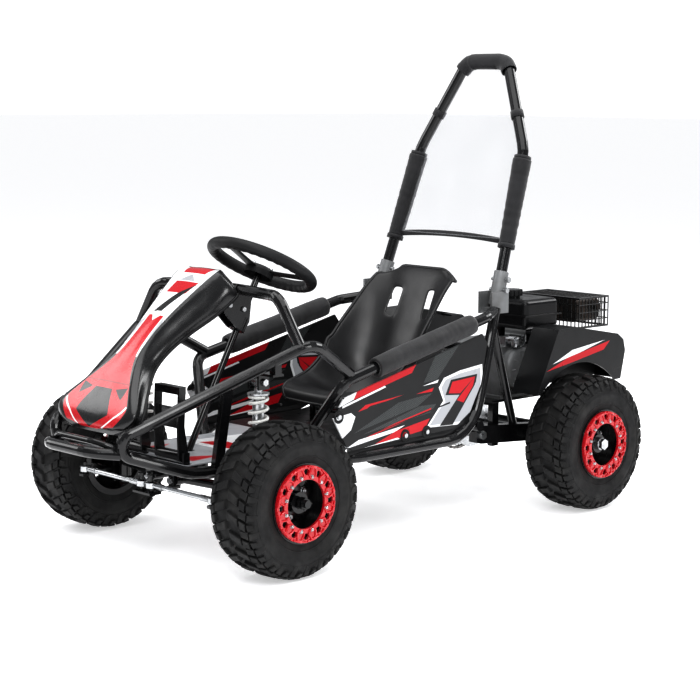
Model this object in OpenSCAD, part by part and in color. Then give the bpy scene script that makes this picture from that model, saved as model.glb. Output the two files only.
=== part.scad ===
// Off-road mini kart: tubular chassis, four wheels, steering, front suspension,
// pedals, bodywork and engine. Millimetres. The front of the kart faces -Y, its
// left side is +X, and the wheels stand on Z = 0.

/* [Overall] */
// Distance between the front and rear axles
wheelbase = 984; // [960:4:1000]
// Distance between the middles of the left and right wheels
track = 642; // [636:2:660]
// Height of the lower rails' centre line above the ground
rail_z = 206; // [204:1:210]
// Moves the whole kart along Y, so that its outline is centred on the origin
centre_shift_y = 51; // [30:1:60]

/* [Tubes] */
// Diameter of the frame tubes
tube_d = 25; // [22:0.5:27]
// Diameter of the roll bar's tube
roll_bar_d = 27; // [25:0.5:28]
// Half of the frame's width at the seat
side_x = 250; // [246:1:254]
// Half of the frame's width between the front wheels
nose_rail_x = 150; // [146:1:152]

/* [Wheels] */
// Outer diameter of the tyres
tyre_d = 330; // [326:1:332]
// Width of the tyres
tyre_w = 127; // [120:1:128]
// Diameter of the rim's bead seat
rim_d = 152; // [148:1:154]
// Outer diameter of the coloured lock ring
ring_d = 163; // [158:1:166]
// Number of large pockets in the lock ring
ring_pockets = 12; // [8:1:16]

/* [Steering] */
// Outer diameter of the steering wheel
steering_wheel_d = 264; // [250:1:270]
// Lean of the steering column from the vertical
column_lean = 28.3; // [28:0.1:28.6]
// Diameter of the steering column
column_d = 15; // [14:0.5:16]

/* [Suspension] */
// Outer diameter of the coil springs
spring_d = 48; // [44:1:50]
// Number of turns in a coil spring
spring_turns = 6; // [5:1:7]
// Distance between a shock absorber's eyes
shock_len = 200; // [198:1:202]

/* [Hidden] */
$fn = 32;

gloss_black = "#17181a";
satin_black = "#26282b";
foam_black = "#1d1e20";
rubber_black = "#202123";
zinc = "#c3c6c9";
cast_grey = "#8f9294";
signal_red = "#d8202f";
spring_white = "#e8e8e4";

wheel_x = track / 2;
front_y = -wheelbase / 2;
rear_y = wheelbase / 2;
axle_z = tyre_d / 2;
running_gap = 0.05;
bush_gap = 0.3;
tube_sides = 16;
bend_step = 15;

// Corner points of the left main rail, from the side tube round the front and back to the roll bar
rail_path = [
    [side_x, -235, 393], [288, -385, 482], [100, -806, 278], [nose_rail_x, -600, rail_z],
    [nose_rail_x, -335, rail_z], [side_x, -215, rail_z], [side_x, 165, rail_z], [222, 270, 500]
];
rail_bends = [60, 30, 140, 60, 60, 125];

// Corner points of the left top tube, from the lower rail up and back to the roll bar
top_path = [
    [nose_rail_x + 4, -318, rail_z], [254, -258, 381], [side_x, 205, 485], [223, 262, 493]
];
top_bends = [45, 40];

// Corner points of the dash hoop's left half, and of the roll bar's
hoop_foot = [279, -408, 466];
hoop_corner = [206, -410, 575];
hoop_mid = [0, -347, 570];
roll_foot = [197, 300, 515];
roll_shoulder = [173, 418, 868];
roll_corner = [67, 473, 1085];

// Steering column: where it crosses the hub, and the direction that it points
column_axis = [0, sin(column_lean), cos(column_lean)];
hub = [0, -288, 595];
function on_column(z) = hub + column_axis * (z - hub.z) / column_axis.z;

roll_up = (roll_shoulder - roll_foot) / norm(roll_shoulder - roll_foot);

// Bolts along X, as (y, z), and the roll bar's bolts as distances up from its foot
panel_bolts = [[-274, 304], [-66, 238], [4, 238]];
bracket_bolts = [[-386, 538], [-346, 526]];
cradle_bolt = [262, 190];
clamp_bolts = [26, 52];

arm_pivot = [40, -490, 172];
kingpin = [wheel_x - 93, front_y, axle_z];
shock_x = 200;
shock_y = -460;
shock_top = 396;
tie_rod_y = -606;
tie_rod_z = 163;
pedal_pivot = [0, -590, 236];
stud_r = 5;
axle_r = 12.5;
spindle_r = 8.5;
sprocket_x = -100;
disc_x = -50;
disc_r = 66;
drive_centre = [sprocket_x, 455, 330];
cap_centre = [108, 458, 508];

// ---------------------------------------------------------------- helpers

function unit(v) = v / norm(v);
function mirrored(path) = [for (i = [len(path) - 1 : -1 : 0]) [-path[i].x, path[i].y, path[i].z]];
function joined(a, b) = [for (p = a) p, for (p = b) p];
function turn_at(p, i) = acos(unit(p[i] - p[i - 1]) * unit(p[i + 1] - p[i]));
function cut_at(p, r, i) = i == 0 || i == len(p) - 1 ? 0 : r[i - 1] * tan(turn_at(p, i) / 2);

module placed() translate([0, centre_shift_y, 0]) children();

module both_sides() {
    children();
    mirror([1, 0, 0]) children();
}

// Turns local Z onto the line from a to b, with the origin at a
module along(a, b) {
    v = b - a;
    translate(a) rotate([0, acos(v.z / norm(v)), atan2(v.y, v.x)]) children();
}

module rod(a, b, d) along(a, b) cylinder(d = d, h = norm(b - a));

// A round bar along X between x1 and x2
module bar_x(x1, x2, y, z, d) translate([x1, y, z]) rotate([0, 90, 0]) cylinder(d = d, h = x2 - x1);

module bar_y(x, y1, y2, z, d) translate([x, y1, z]) rotate([-90, 0, 0]) cylinder(d = d, h = y2 - y1);

module block(low, high) translate(low) cube(high - low);

// Points and directions along a tube's centre line at its corner number i: one at an end, and
// a fan of them round a bend
function stations_at(p, r, i) =
    i == 0 ? [[p[0], unit(p[1] - p[0])]]
    : i == len(p) - 1 ? [[p[i], unit(p[i] - p[i - 1])]]
    : let (
        u = unit(p[i] - p[i - 1]),
        w = unit(p[i + 1] - p[i]),
        inward = unit(w - u * (u * w)),
        centre = p[i] - u * cut_at(p, r, i) + inward * r[i - 1],
        turn = turn_at(p, i),
        steps = ceil(turn / bend_step)
    )
        [for (s = [0 : steps])
            let (a = turn * s / steps)
                [centre + r[i - 1] * (u * sin(a) - inward * cos(a)), u * cos(a) + inward * sin(a)]];

// Circle of points round a station; reference is any direction that the tube never runs along
function tube_ring(station, reference, d) = let (
    e = unit(cross(reference, station[1])),
    f = cross(station[1], e)
)
    [for (k = [0 : tube_sides - 1])
        let (a = 360 * k / tube_sides) station[0] + d / 2 * (e * cos(a) + f * sin(a))];

// A round tube that follows straight lines with a bend of its own radius at each corner
module bent_tube(p, r, d, reference) skin([
    for (i = [0 : len(p) - 1]) for (s = stations_at(p, r, i)) tube_ring(s, reference, d)
]);

// A plate of thickness t whose outline is drawn as (y, z) points, with its lower face at x
module plate_x(x, t, outline)
    translate([x, 0, 0]) rotate([90, 0, 90]) linear_extrude(t) polygon(outline);

// Closed surface through a list of rings that all have the same number of points
module skin(rings) {
    n = len(rings[0]);
    last = len(rings) - 1;
    polyhedron(
        points = [for (ring = rings) for (p = ring) p],
        faces = concat(
            [[for (k = [0 : n - 1]) k]],
            [for (s = [0 : last - 1]) for (k = [0 : n - 1])
                [s * n + k, (s + 1) * n + k, (s + 1) * n + (k + 1) % n]],
            [for (s = [0 : last - 1]) for (k = [0 : n - 1])
                [s * n + k, (s + 1) * n + (k + 1) % n, s * n + (k + 1) % n]],
            [[for (k = [n - 1 : -1 : 0]) last * n + k]]
        )
    );
}

module bolt_head(at, direction, d) along(at, at + direction) cylinder(d = d, h = d * 0.4, $fn = 6);

// Shanks of the bolts that hold the frame and bodywork together, made wider by extra for holes
module bolt_shanks(extra) {
    both_sides() {
        for (p = panel_bolts) bar_x(side_x - 6, side_x + 3, p.x, p.y, 5.9 + extra);
        bar_x(174, 218, shock_y, shock_top, 2 * stud_r - 0.1 + extra);
        bar_x(160, 190, cradle_bolt.x, cradle_bolt.y, 9.9 + extra);
        bar_y(arm_pivot.x, -576, -404, arm_pivot.z, 2 * stud_r - 0.1 + extra);
        for (t = clamp_bolts) {
            c = roll_foot + roll_up * t;
            bar_x(c.x - 26, c.x + 24, c.y, c.z, 7.9 + extra);
        }
    }
    for (p = bracket_bolts) bar_x(-22, 18, p.x, p.y, 5.9 + extra);
}

// ---------------------------------------------------------------- frame

module main_rails() color(gloss_black) both_sides() bent_tube(rail_path, rail_bends, tube_d, [1, 0, 0]);

module top_tubes() color(gloss_black) both_sides() bent_tube(top_path, top_bends, tube_d, [1, 0, 0]);

module dash_hoop() color(gloss_black) {
    path = joined([hoop_foot, hoop_corner, hoop_mid], mirrored([hoop_foot, hoop_corner]));
    bent_tube(path, [50, 120, 50], tube_d, [0, 1, 0]);
}

module front_bumper() color(gloss_black) {
    end = [106, -758, 262];
    shoulder = [88, -812, 270];
    bent_tube(joined([end, shoulder], mirrored([end, shoulder])), [55, 55], tube_d - 1, [0, 0, 1]);
    inner_end = [121, -715, 250];
    inner_shoulder = [86, -790, 288];
    bent_tube(
        joined([inner_end, inner_shoulder], mirrored([inner_end, inner_shoulder])), [60, 60], 14,
        [0, 0, 1]
    );
}

// Struts, shock absorber brackets, cross tubes, arm pivot lugs and the lower steering bearing
module front_subframe() color(gloss_black) {
    both_sides() {
        strut_foot = [nose_rail_x, -535, rail_z];
        strut_top = [207, -553, 390];
        along(strut_foot, strut_top)
            linear_extrude(norm(strut_top - strut_foot)) square(20, center = true);
        difference() {
            union() {
                block([182, shock_y - 15, 413], [264, shock_y + 15, 418]);
                block([246, shock_y - 9, 413], [264, shock_y + 9, 440]);
                block([182, shock_y - 15, 380], [187, shock_y + 15, 418]);
                block([213, shock_y - 15, 380], [218, shock_y + 15, 418]);
            }
            bar_x(170, 230, shock_y, shock_top, 2 * stud_r);
        }
        difference() {
            union() {
                block([31, -571, 158], [49, -565, rail_z]);
                block([31, -415, 158], [49, -409, rail_z]);
            }
            bar_y(arm_pivot.x, -580, -400, arm_pivot.z, 2 * stud_r);
        }
    }
    bar_x(-nose_rail_x, nose_rail_x, -568, rail_z, tube_d);
    bar_x(-nose_rail_x, nose_rail_x, -412, rail_z, tube_d);
    difference() {
        union() {
            block([-14, -568, 202], [14, -412, 208]);
            rod(on_column(190), on_column(210), column_d + 14);
        }
        rod(on_column(180), on_column(225), column_d + 2 * running_gap);
    }
    both_sides() block([112, pedal_pivot.y - 8, rail_z], [118, pedal_pivot.y + 8, 246]);
    both_sides() block([112, pedal_pivot.y - 8, rail_z - 6], [nose_rail_x, pedal_pivot.y + 8, rail_z + 4]);
    bar_x(-116, 116, pedal_pivot.y, pedal_pivot.z, 12);
}

module cross_members() color(gloss_black) {
    bar_x(-nose_rail_x, nose_rail_x, -318, rail_z, tube_d);
    bar_x(-side_x, side_x, -30, rail_z, tube_d);
    bar_x(-side_x, side_x, 118, rail_z + 8, tube_d);
    bar_x(-228, 228, 236, 400, tube_d);
}

// Side beams from the frame to the rear axle, with uprights that carry the engine plate
module rear_cradle() color(gloss_black) {
    both_sides() {
        difference() {
            plate_x(165, 25, [[246, 172], [262, 168], [598, 142], [598, 184], [262, 212], [246, 204]]);
            bar_x(160, 200, rear_y, axle_z, 40);
            bolt_shanks(0.1);
        }
        block([168, 214, 200], [186, 254, 232]);
        block([150, 330, 150], [165, 352, 250]);
        block([150, 540, 150], [165, 560, 250]);
        rod([176, 400, 180], [219, 262, 460], 20);
    }
    bar_x(-230, 230, 214, 222, tube_d);
    bar_x(-168, 168, 285, 188, tube_d);
    bar_x(-168, 168, 588, 163, tube_d - 5);
    block([-165, 330, 250], [165, 352, 256]);
    block([-165, 540, 250], [165, 560, 256]);
    block([-72, 352, 250], [140, 540, 256]);
}

module axle_bearings() color(cast_grey) both_sides() difference() {
    union() {
        bar_x(165, 190, rear_y, axle_z, 39.9);
        bar_x(190, 200, rear_y, axle_z, 64);
    }
    bar_x(160, 210, rear_y, axle_z, 2 * (axle_r + running_gap));
}

// Two cheek plates under the dash hoop that carry the upper column bush and the nose
module steering_bracket() color(satin_black) {
    cheek = [
        [-362, 584], [-330, 576], [-322, 545], [-328, 496], [-345, 474],
        [-366, 486], [-398, 520], [-398, 544]
    ];
    difference() {
        union() {
            plate_x(-18, 4, cheek);
            plate_x(14, 4, cheek);
            rod(on_column(478), on_column(506), column_d + 22);
        }
        rod(on_column(460), on_column(520), column_d + 2 * running_gap);
        bolt_shanks(0.1);
        bent_tube(
            joined([hoop_corner, hoop_mid], mirrored([hoop_corner])), [120], tube_d,
            [0, 1, 0]
        );
    }
}

// Folded sheet that slopes up towards the pedals, with a hole for the column
module floor_pan() color("#3a3c3f") {
    t = 3;
    z = rail_z + tube_d / 2 + 0.5;
    difference() {
        intersection() {
            plate_x(-side_x, 2 * side_x, [
                [-742, z + 38], [-600, z], [80, z], [80, z + t], [-600, z + t], [-742, z + 38 + t]
            ]);
            linear_extrude(400) polygon([
                [86, -745], [130, -600], [130, -300], [222, -206], [236, 80],
                [-236, 80], [-222, -206], [-130, -300], [-130, -600], [-86, -745]
            ]);
        }
        rod(on_column(200), on_column(240), column_d + 10);
        for (s = [-1, 1]) translate([s * 115, pedal_pivot.y, 0]) cylinder(d = 26, h = 400);
        for (s = [-1, 1]) translate([s * 94, -30, z]) cube([26, 20, 20], center = true);
        bar_x(-110, 110, pedal_pivot.y, pedal_pivot.z, 40);
    }
}

module roll_bar() color(gloss_black) difference() {
    left = [roll_foot, roll_shoulder, roll_corner];
    bent_tube(joined(left, mirrored(left)), [120, 36, 36, 120], roll_bar_d, [0, 1, 0]);
    bolt_shanks(0.2);
}

// Sockets at the back of the frame that the roll bar's feet are bolted into
module roll_bar_clamps() color(cast_grey) both_sides() {
    difference() {
        union() {
            rod(roll_foot - roll_up * 14, roll_foot + roll_up * 70, roll_bar_d + 8);
            translate(roll_foot) block([-22, -40, -30], [-16, 20, 22]);
            translate(roll_foot) block([16, -40, -30], [22, 20, 22]);
            translate(roll_foot) block([-22, -30, -24], [22, 14, -16]);
        }
        rod(roll_foot, roll_foot + roll_up * 80, roll_bar_d + 0.1);
        bolt_shanks(0.1);
    }
}

// ---------------------------------------------------------------- soft parts

module side_pad(side) color(foam_black) {
    start = top_path[1] + unit(top_path[2] - top_path[1]) * 96;
    end = top_path[1] + unit(top_path[2] - top_path[1]) * 424;
    scale([side, 1, 1]) difference() {
        rod(start, end, 50);
        rod(start - [0, 5, 1], end + [0, 5, 1], tube_d + 0.6);
    }
}

// A film panel with a hem sleeve along each leg of the roll bar and one across its top
module wind_net() color("#dfe3e6") {
    leg_low = roll_foot + (roll_shoulder - roll_foot) * 0.37;
    leg_high = roll_foot + (roll_shoulder - roll_foot) * 0.93;
    top = [roll_corner.x - 23, roll_corner.y, roll_corner.z];
    difference() {
        union() {
            both_sides() rod(leg_low, leg_high, roll_bar_d + 11);
            rod([-top.x, top.y, top.z], top, roll_bar_d + 13);
            intersection() {
                plate_x(-200, 400, [
                    [leg_low.y - 1, leg_low.z], [roll_shoulder.y - 1, roll_shoulder.z],
                    [roll_corner.y - 1, roll_corner.z], [roll_corner.y + 1, roll_corner.z],
                    [roll_shoulder.y + 1, roll_shoulder.z], [leg_low.y + 1, leg_low.z]
                ]);
                translate([0, 600, 0]) rotate([90, 0, 0]) linear_extrude(400) polygon([
                    [leg_low.x - 12, leg_low.z], [roll_shoulder.x - 19, roll_shoulder.z],
                    [roll_corner.x - 29, roll_corner.z - 16], [-roll_corner.x + 29, roll_corner.z - 16],
                    [-roll_shoulder.x + 19, roll_shoulder.z], [-leg_low.x + 12, leg_low.z]
                ]);
            }
        }
        both_sides() rod(roll_foot, roll_shoulder, roll_bar_d + 0.6);
        bar_x(-90, 90, roll_corner.y, roll_corner.z, roll_bar_d + 0.6);
    }
}

// ---------------------------------------------------------------- bodywork

// One cross section of the seat: a U whose wings rise by depth along the direction that leans
// by angle from straight up towards the front
function seat_half(y, z, half, depth, angle, drop) = [
    for (t = [-1 : 0.2 : 1])
        let (lift = depth * pow(abs(t), 2.6) - drop)
            [half * t, y - sin(angle) * lift, z + cos(angle) * lift]
];
function seat_ring(y, z, half, depth, angle) = concat(
    seat_half(y, z, half, depth, angle, 0),
    [for (p = seat_half(y, z, half, depth, angle, 5)) [-p.x, p.y, p.z]]
);

module seat() color(satin_black) {
    difference() {
        skin([
            seat_ring(-112, 284, 100, 2, 8),
            seat_ring(-110, 303, 110, 4, 4),
            seat_ring(-92, 312, 116, 8, 0),
            seat_ring(-52, 302, 124, 26, -2),
            seat_ring(-2, 276, 134, 66, 0),
            seat_ring(52, 255, 141, 118, 4),
            seat_ring(100, 264, 144, 146, 14),
            seat_ring(136, 304, 143, 126, 26),
            seat_ring(162, 366, 140, 98, 36),
            seat_ring(192, 440, 135, 68, 46),
            seat_ring(222, 515, 129, 40, 58),
            seat_ring(243, 562, 122, 18, 72),
            seat_ring(255, 582, 100, 6, 80)
        ]);
        for (s = [-1, 1]) {
            translate([s * 57, 212, 498]) rotate([-21, 0, 0]) cube([24, 60, 54], center = true);
        }
    }
    both_sides() {
        block([84, -36, 218.5], [104, -24, 300]);
        block([84, 112, 226.5], [104, 124, 318]);
    }
}

panel_outline = [
    [-290, 302], [-258, 344], [-150, 370], [190, 448], [208, 425],
    [188, 330], [152, 268], [96, 234], [-230, 224], [-250, 236]
];

module side_panel(side) color(satin_black) scale([side, 1, 1]) difference() {
    plate_x(side_x - 1, 4, panel_outline);
    bolt_shanks(0.1);
}

// One cross section of the nose: a flat top of half width top, sides that flare to half width
// foot, and depth measured square to the slope, whose angle is given below the horizontal
function nose_half(y, z, top, foot, depth, slope, inset) = [
    for (q = [
        [-foot + inset, depth], [-foot * 0.97 + inset, depth * 0.6], [-top * 1.1 + inset, depth * 0.22],
        [-top * 0.94, inset], [-top * 0.5, inset - 1], [0, inset - 2], [top * 0.5, inset - 1],
        [top * 0.94, inset], [top * 1.1 - inset, depth * 0.22], [foot * 0.97 - inset, depth * 0.6],
        [foot - inset, depth]
    ])
        [q.x, y + sin(slope) * q.y, z - cos(slope) * q.y]
];
function nose_ring(y, z, top, foot, depth, slope) = let (
    inner = nose_half(y, z, top, foot, depth, slope, 4)
) concat(
    nose_half(y, z, top, foot, depth, slope, 0),
    [for (i = [len(inner) - 1 : -1 : 0]) inner[i]]
);

module nose_fairing() color(satin_black) {
    skin([
        nose_ring(-752, 298, 70, 76, 30, 84),
        nose_ring(-756, 318, 104, 110, 34, 72),
        nose_ring(-742, 352, 120, 124, 36, 58),
        nose_ring(-705, 398, 84, 92, 40, 52),
        nose_ring(-660, 447, 48, 60, 42, 47),
        nose_ring(-617, 490, 40, 56, 46, 43),
        nose_ring(-570, 533, 46, 66, 54, 40),
        nose_ring(-515, 578, 58, 80, 64, 38),
        nose_ring(-467, 614, 68, 86, 66, 34),
        nose_ring(-440, 622, 58, 80, 58, 26)
    ]);
    difference() {
        block([-12, -452, 530], [12, -380, 545]);
        bar_x(-20, 20, -386, 538, 6);
    }
    block([-12, -470, 536], [12, -440, 614]);
}

fender_outline = [
    [334, 292], [408, 444], [470, 446], [637, 416], [660, 400], [668, 372], [652, 302]
];
fender_in = 222;
fender_out = 304;

module wheel_arch(r) translate([0, rear_y, axle_z]) rotate([0, 90, 0]) cylinder(r = r, h = 600, $fn = 48);

module rear_fender(side) color(satin_black) scale([side, 1, 1]) {
    difference() {
        plate_x(fender_in, fender_out - fender_in, fender_outline);
        plate_x(fender_in - 1, fender_out - fender_in - 3, [
            [338, 280], [412, 440], [470, 442], [635, 412], [656, 398], [664, 372], [648, 290]
        ]);
        wheel_arch(192);
    }
    block([190, 420, 424], [226, 440, 429]);
    block([190, 560, 420], [226, 580, 425]);
}

// ---------------------------------------------------------------- engine

module engine_block() color(cast_grey) difference() {
    union() {
        block([-70, 396, 262], [128, 540, 384]);
        block([-76, 388, 256], [138, 545, 264]);
        bar_x(128, 142, 455, 330, 112);
        bar_x(142, 152, 455, 330, 88);
        bar_x(-86, -70, 455, 330, 70);
        block([-34, 536, 276], [90, 560, 396]);
        for (i = [0 : 5]) block([-42, 560 + 9 * i, 268], [98, 564 + 9 * i, 404]);
        block([-26, 556, 286], [82, 616, 388]);
        block([-30, 612, 290], [86, 634, 384]);
    }
    bar_x(-90, -40, 455, 330, 2 * (9.5 + running_gap));
}

module fuel_tank() color(satin_black) difference() {
    union() {
        hull() for (x = [76, 176]) for (y = [430, 532]) for (z = [444, 490])
            translate([x, y, z]) sphere(r = 14, $fn = 20);
        block([58, 412, 462], [194, 550, 466]);
        translate(cap_centre - [0, 0, 10]) cylinder(r = 21, h = 10);
        block([70, 440, 384], [86, 460, 440]);
        block([120, 500, 384], [136, 530, 440]);
    }
    translate(cap_centre - [0, 0, 8]) cylinder(r = 14, h = 20);
}

module fuel_cap() color(gloss_black) translate(cap_centre) {
    translate([0, 0, 0.4]) cylinder(r = 25, h = 15);
    translate([0, 0, -6]) cylinder(r = 13.6, h = 8);
    for (a = [0 : 30 : 330]) rotate(a) translate([25, 0, 0.4]) cylinder(r = 2.4, h = 15, $fn = 16);
}

module muffler() color("#4a4c4e") {
    hull() for (x = [26, 170]) for (z = [446, 480]) bar_y(x, 622, 708, z, 26);
    bar_y(70, 634, 652, 362, 26);
    rod([70, 648, 362], [70, 655, 436], 26);
    bar_x(183, 200, 690, 470, 16);
}

// Open cage of flat bars round the muffler
module muffler_guard() color(gloss_black) {
    low = [2, 604, 420];
    high = [206, 722, 498];
    bar = 4;
    for (z = [low.z, high.z - bar]) difference() {
        block([low.x, low.y, z], [high.x, high.y, z + bar]);
        block([low.x + 8, low.y + 8, z - 1], [high.x - 8, high.y - 8, z + bar + 1]);
    }
    for (i = [0 : 16]) {
        x = low.x + (high.x - low.x - 2) * i / 16;
        block([x, low.y, low.z], [x + 2, low.y + 2, high.z]);
        block([x, high.y - 2, low.z], [x + 2, high.y, high.z]);
        block([x, low.y, high.z - 2], [x + 2, high.y, high.z]);
    }
    for (i = [0 : 9]) {
        y = low.y + (high.y - low.y - 2) * i / 9;
        block([high.x - 2, y, low.z], [high.x, y + 2, high.z]);
        block([low.x, y, low.z], [low.x + 2, y + 2, high.z]);
    }
    for (i = [1 : 3]) {
        z = low.z + (high.z - low.z) * i / 4;
        block([low.x, low.y, z], [high.x, low.y + 2, z + 2]);
        block([low.x, high.y - 2, z], [high.x, high.y, z + 2]);
        block([high.x - 2, low.y, z], [high.x, high.y, z + 2]);
        block([low.x, low.y, z], [low.x + 2, high.y, z + 2]);
    }
    for (x = [20, 60]) block([x, 600, 404], [x + 6, 606, 424]);
}

module carburettor() color(zinc) {
    bar_x(132, 168, 430, 402, 26);
    translate([150, 430, 386]) cylinder(r = 13, h = 16);
    block([138, 410, 400], [160, 450, 406]);
    bar_x(112, 134, 430, 402, 18);
    block([96, 420, 384], [124, 440, 408]);
    rod([160, 412, 409], [160, 452, 409], 4);
    translate([160, 446, 398]) cylinder(r = 6, h = 18);
}

// ---------------------------------------------------------------- fasteners

module frame_bolts() color(zinc) {
    bolt_shanks(0);
    both_sides() {
        for (p = panel_bolts) bolt_head([side_x + 3, p.x, p.y], [1, 0, 0], 12);
        bolt_head([218, shock_y, shock_top], [1, 0, 0], 16);
        bolt_head([190, cradle_bolt.x, cradle_bolt.y], [1, 0, 0], 22);
        bolt_head([arm_pivot.x, -571, arm_pivot.z], [0, -1, 0], 16);
        for (t = clamp_bolts) bolt_head(roll_foot + roll_up * t + [24, 0, 0], [1, 0, 0], 14);
    }
    for (p = bracket_bolts) bolt_head([18, p.x, p.y], [1, 0, 0], 12);
}

// ---------------------------------------------------------------- driveline

module rear_axle() color(zinc) {
    bar_x(-372, 372, rear_y, axle_z, 2 * axle_r);
    for (x = [sprocket_x, disc_x]) bar_x(x + 4, x + 20, rear_y, axle_z, 44);
    both_sides() {
        bar_x(206, 214, rear_y, axle_z, 36);
        bar_x(367.2, 376, rear_y, axle_z, 30);
        translate([374, rear_y, axle_z]) rotate([0, 90, 0]) cylinder(d = 28, h = 12, $fn = 6);
    }
}

// A toothed disc on the X axis, with its tooth tips at radius r
module toothed(r, teeth, t) rotate([0, 90, 0]) linear_extrude(t) difference() {
    circle(r = r);
    for (i = [0 : teeth - 1]) rotate(360 * i / teeth) translate([r + 1, 0]) circle(r = 4.2, $fn = 16);
}

axle_pitch_r = 76;
drive_pitch_r = 21;

module axle_sprocket() color(zinc) difference() {
    translate([sprocket_x - 3, rear_y, axle_z]) toothed(axle_pitch_r - 5.5, 37, 6);
    bar_x(sprocket_x - 10, sprocket_x + 10, rear_y, axle_z, 2 * axle_r + 0.04);
    for (a = [0 : 60 : 300]) translate([sprocket_x - 5, rear_y, axle_z])
        rotate([a, 0, 0]) translate([0, 44, 0]) rotate([0, 90, 0]) cylinder(r = 12, h = 10);
}

module drive_sprocket() color(zinc) {
    translate([sprocket_x - 4, drive_centre.y, drive_centre.z]) toothed(drive_pitch_r - 5.5, 10, 8);
    bar_x(sprocket_x - 14, -44, drive_centre.y, drive_centre.z, 19);
}

// Outline of a closed belt round the two sprockets, grown by an offset from the pitch line
function chain_outline(grow) = let (
    run = norm([drive_centre.y - rear_y, drive_centre.z - axle_z]),
    tilt = asin((axle_pitch_r - drive_pitch_r) / run),
    big = axle_pitch_r + grow,
    small = drive_pitch_r + grow
) concat(
    [for (a = [90 - tilt : (180 + 2 * tilt) / 32 : 270 + tilt + 0.1]) big * [cos(a), sin(a)]],
    [for (a = [tilt - 90 : (180 - 2 * tilt) / 10 : 90 - tilt + 0.1])
        [run, 0] + small * [cos(a), sin(a)]]
);

module drive_chain() color("#6a6c6e") translate([sprocket_x - 6, rear_y, axle_z])
    rotate([90, 0, 90]) rotate(atan2(drive_centre.z - axle_z, drive_centre.y - rear_y))
        linear_extrude(12) difference() {
            polygon(chain_outline(4.5));
            polygon(chain_outline(-4.5));
        }

module brake_disc() color(zinc) difference() {
    bar_x(disc_x - 2, disc_x + 2, rear_y, axle_z, 2 * disc_r);
    bar_x(disc_x - 5, disc_x + 5, rear_y, axle_z, 2 * axle_r + 0.04);
    for (a = [0 : 45 : 315]) translate([disc_x - 5, rear_y, axle_z])
        rotate([a, 0, 0]) translate([0, disc_r - 16, 0]) rotate([0, 90, 0]) cylinder(r = 5, h = 10);
}

module brake_caliper() color(satin_black) difference() {
    union() {
        block([disc_x - 18, 446, 196], [disc_x + 24, 486, 250]);
        bar_x(disc_x + 24, disc_x + 32, 466, 222, 24);
    }
    block([disc_x - 3.5, 440, 190], [disc_x + 3.5, 490, 240]);
}

// ---------------------------------------------------------------- steering

// Rim with three flat spokes; local Z is the column axis
module steering_wheel() color(satin_black) translate(hub) rotate([-column_lean, 0, 0]) {
    rim_r = 14;
    ring = steering_wheel_d / 2 - rim_r;
    lift = 28;
    translate([0, 0, lift]) rotate_extrude() translate([ring, 0]) circle(r = rim_r);
    for (a = [30, 150, 270]) rotate(a) intersection() {
        union() {
            translate([24, -17, 12]) rotate([0, -8.5, 0]) cube([ring - 26, 34, 8]);
        }
        cylinder(r = ring, h = 60);
    }
    difference() {
        cylinder(r = 34, h = 22);
        translate([0, 0, -1]) cylinder(d = column_d, h = 12);
    }
}

module steering_column() color(gloss_black) {
    foot = on_column(152);
    rod(foot, hub + column_axis * 10, column_d);
    block([-10, -590, 143], [10, foot.y + 6, 148]);
    block([-30, -622, 143], [30, -590, 148]);
    for (s = [-1, 1]) translate([s * 16, tie_rod_y, 144]) {
        cylinder(r = 4, h = 38);
        translate([0, 0, 38]) cylinder(r = 9, h = 4);
    }
    rod(foot - column_axis * 2, foot + column_axis * 10, 24);
    rod(on_column(508), on_column(513), column_d + 8);
}

module tie_rod(side) color(zinc) scale([side, 1, 1]) difference() {
    union() {
        bar_x(30, 216, tie_rod_y, tie_rod_z, 11);
        for (x = [16, 225]) translate([x, tie_rod_y, tie_rod_z - 6]) cylinder(r = 12.5, h = 12);
        bar_x(28, 56, tie_rod_y, tie_rod_z, 14);
        bar_x(184, 212, tie_rod_y, tie_rod_z, 14);
    }
    translate([16, tie_rod_y, tie_rod_z - 10]) cylinder(r = 9.4, h = 20);
    translate([225, tie_rod_y, tie_rod_z - 10]) cylinder(r = stud_r + running_gap, h = 20);
}

// ---------------------------------------------------------------- front suspension

module lower_arm(side) color(gloss_black) scale([side, 1, 1]) difference() {
    union() {
        bar_y(arm_pivot.x, -562, -418, arm_pivot.z, 24);
        rod([arm_pivot.x + 4, -540, arm_pivot.z], [kingpin.x - 8, kingpin.y - 4, 165], 20);
        rod([arm_pivot.x + 4, -432, arm_pivot.z], [kingpin.x - 8, kingpin.y + 4, 165], 20);
        translate([kingpin.x, kingpin.y, 132]) cylinder(d = 28, h = 66);
        block([178, shock_y - 14, 160], [183, shock_y + 12, 208]);
        block([217, shock_y - 14, 160], [222, shock_y + 12, 208]);
        block([178, shock_y - 26, 156], [222, shock_y - 10, 176]);
        bar_x(172, 228, shock_y, 196, 2 * stud_r);
    }
    bar_y(arm_pivot.x, -570, -410, arm_pivot.z, 2 * (stud_r + running_gap));
    translate([kingpin.x, kingpin.y, 120]) cylinder(r = 6 + running_gap, h = 90);
}

// Upper half of a shock absorber: top eye, spring seat and damper tube
module shock_body(side) color(zinc) scale([side, 1, 1]) difference() {
    union() {
        bar_x(shock_x - 12, shock_x + 12, shock_y, shock_top, 24);
        translate([shock_x, shock_y, shock_top - 26]) cylinder(r = 9, h = 20);
        translate([shock_x, shock_y, shock_top - 28]) cylinder(d = spring_d, h = 4);
        translate([shock_x, shock_y, shock_top - 108]) cylinder(r = 13, h = 84);
    }
    bar_x(shock_x - 20, shock_x + 20, shock_y, shock_top, 2 * (stud_r + bush_gap));
    translate([shock_x, shock_y, shock_top - 110]) cylinder(r = 6.1, h = 60);
}

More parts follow.
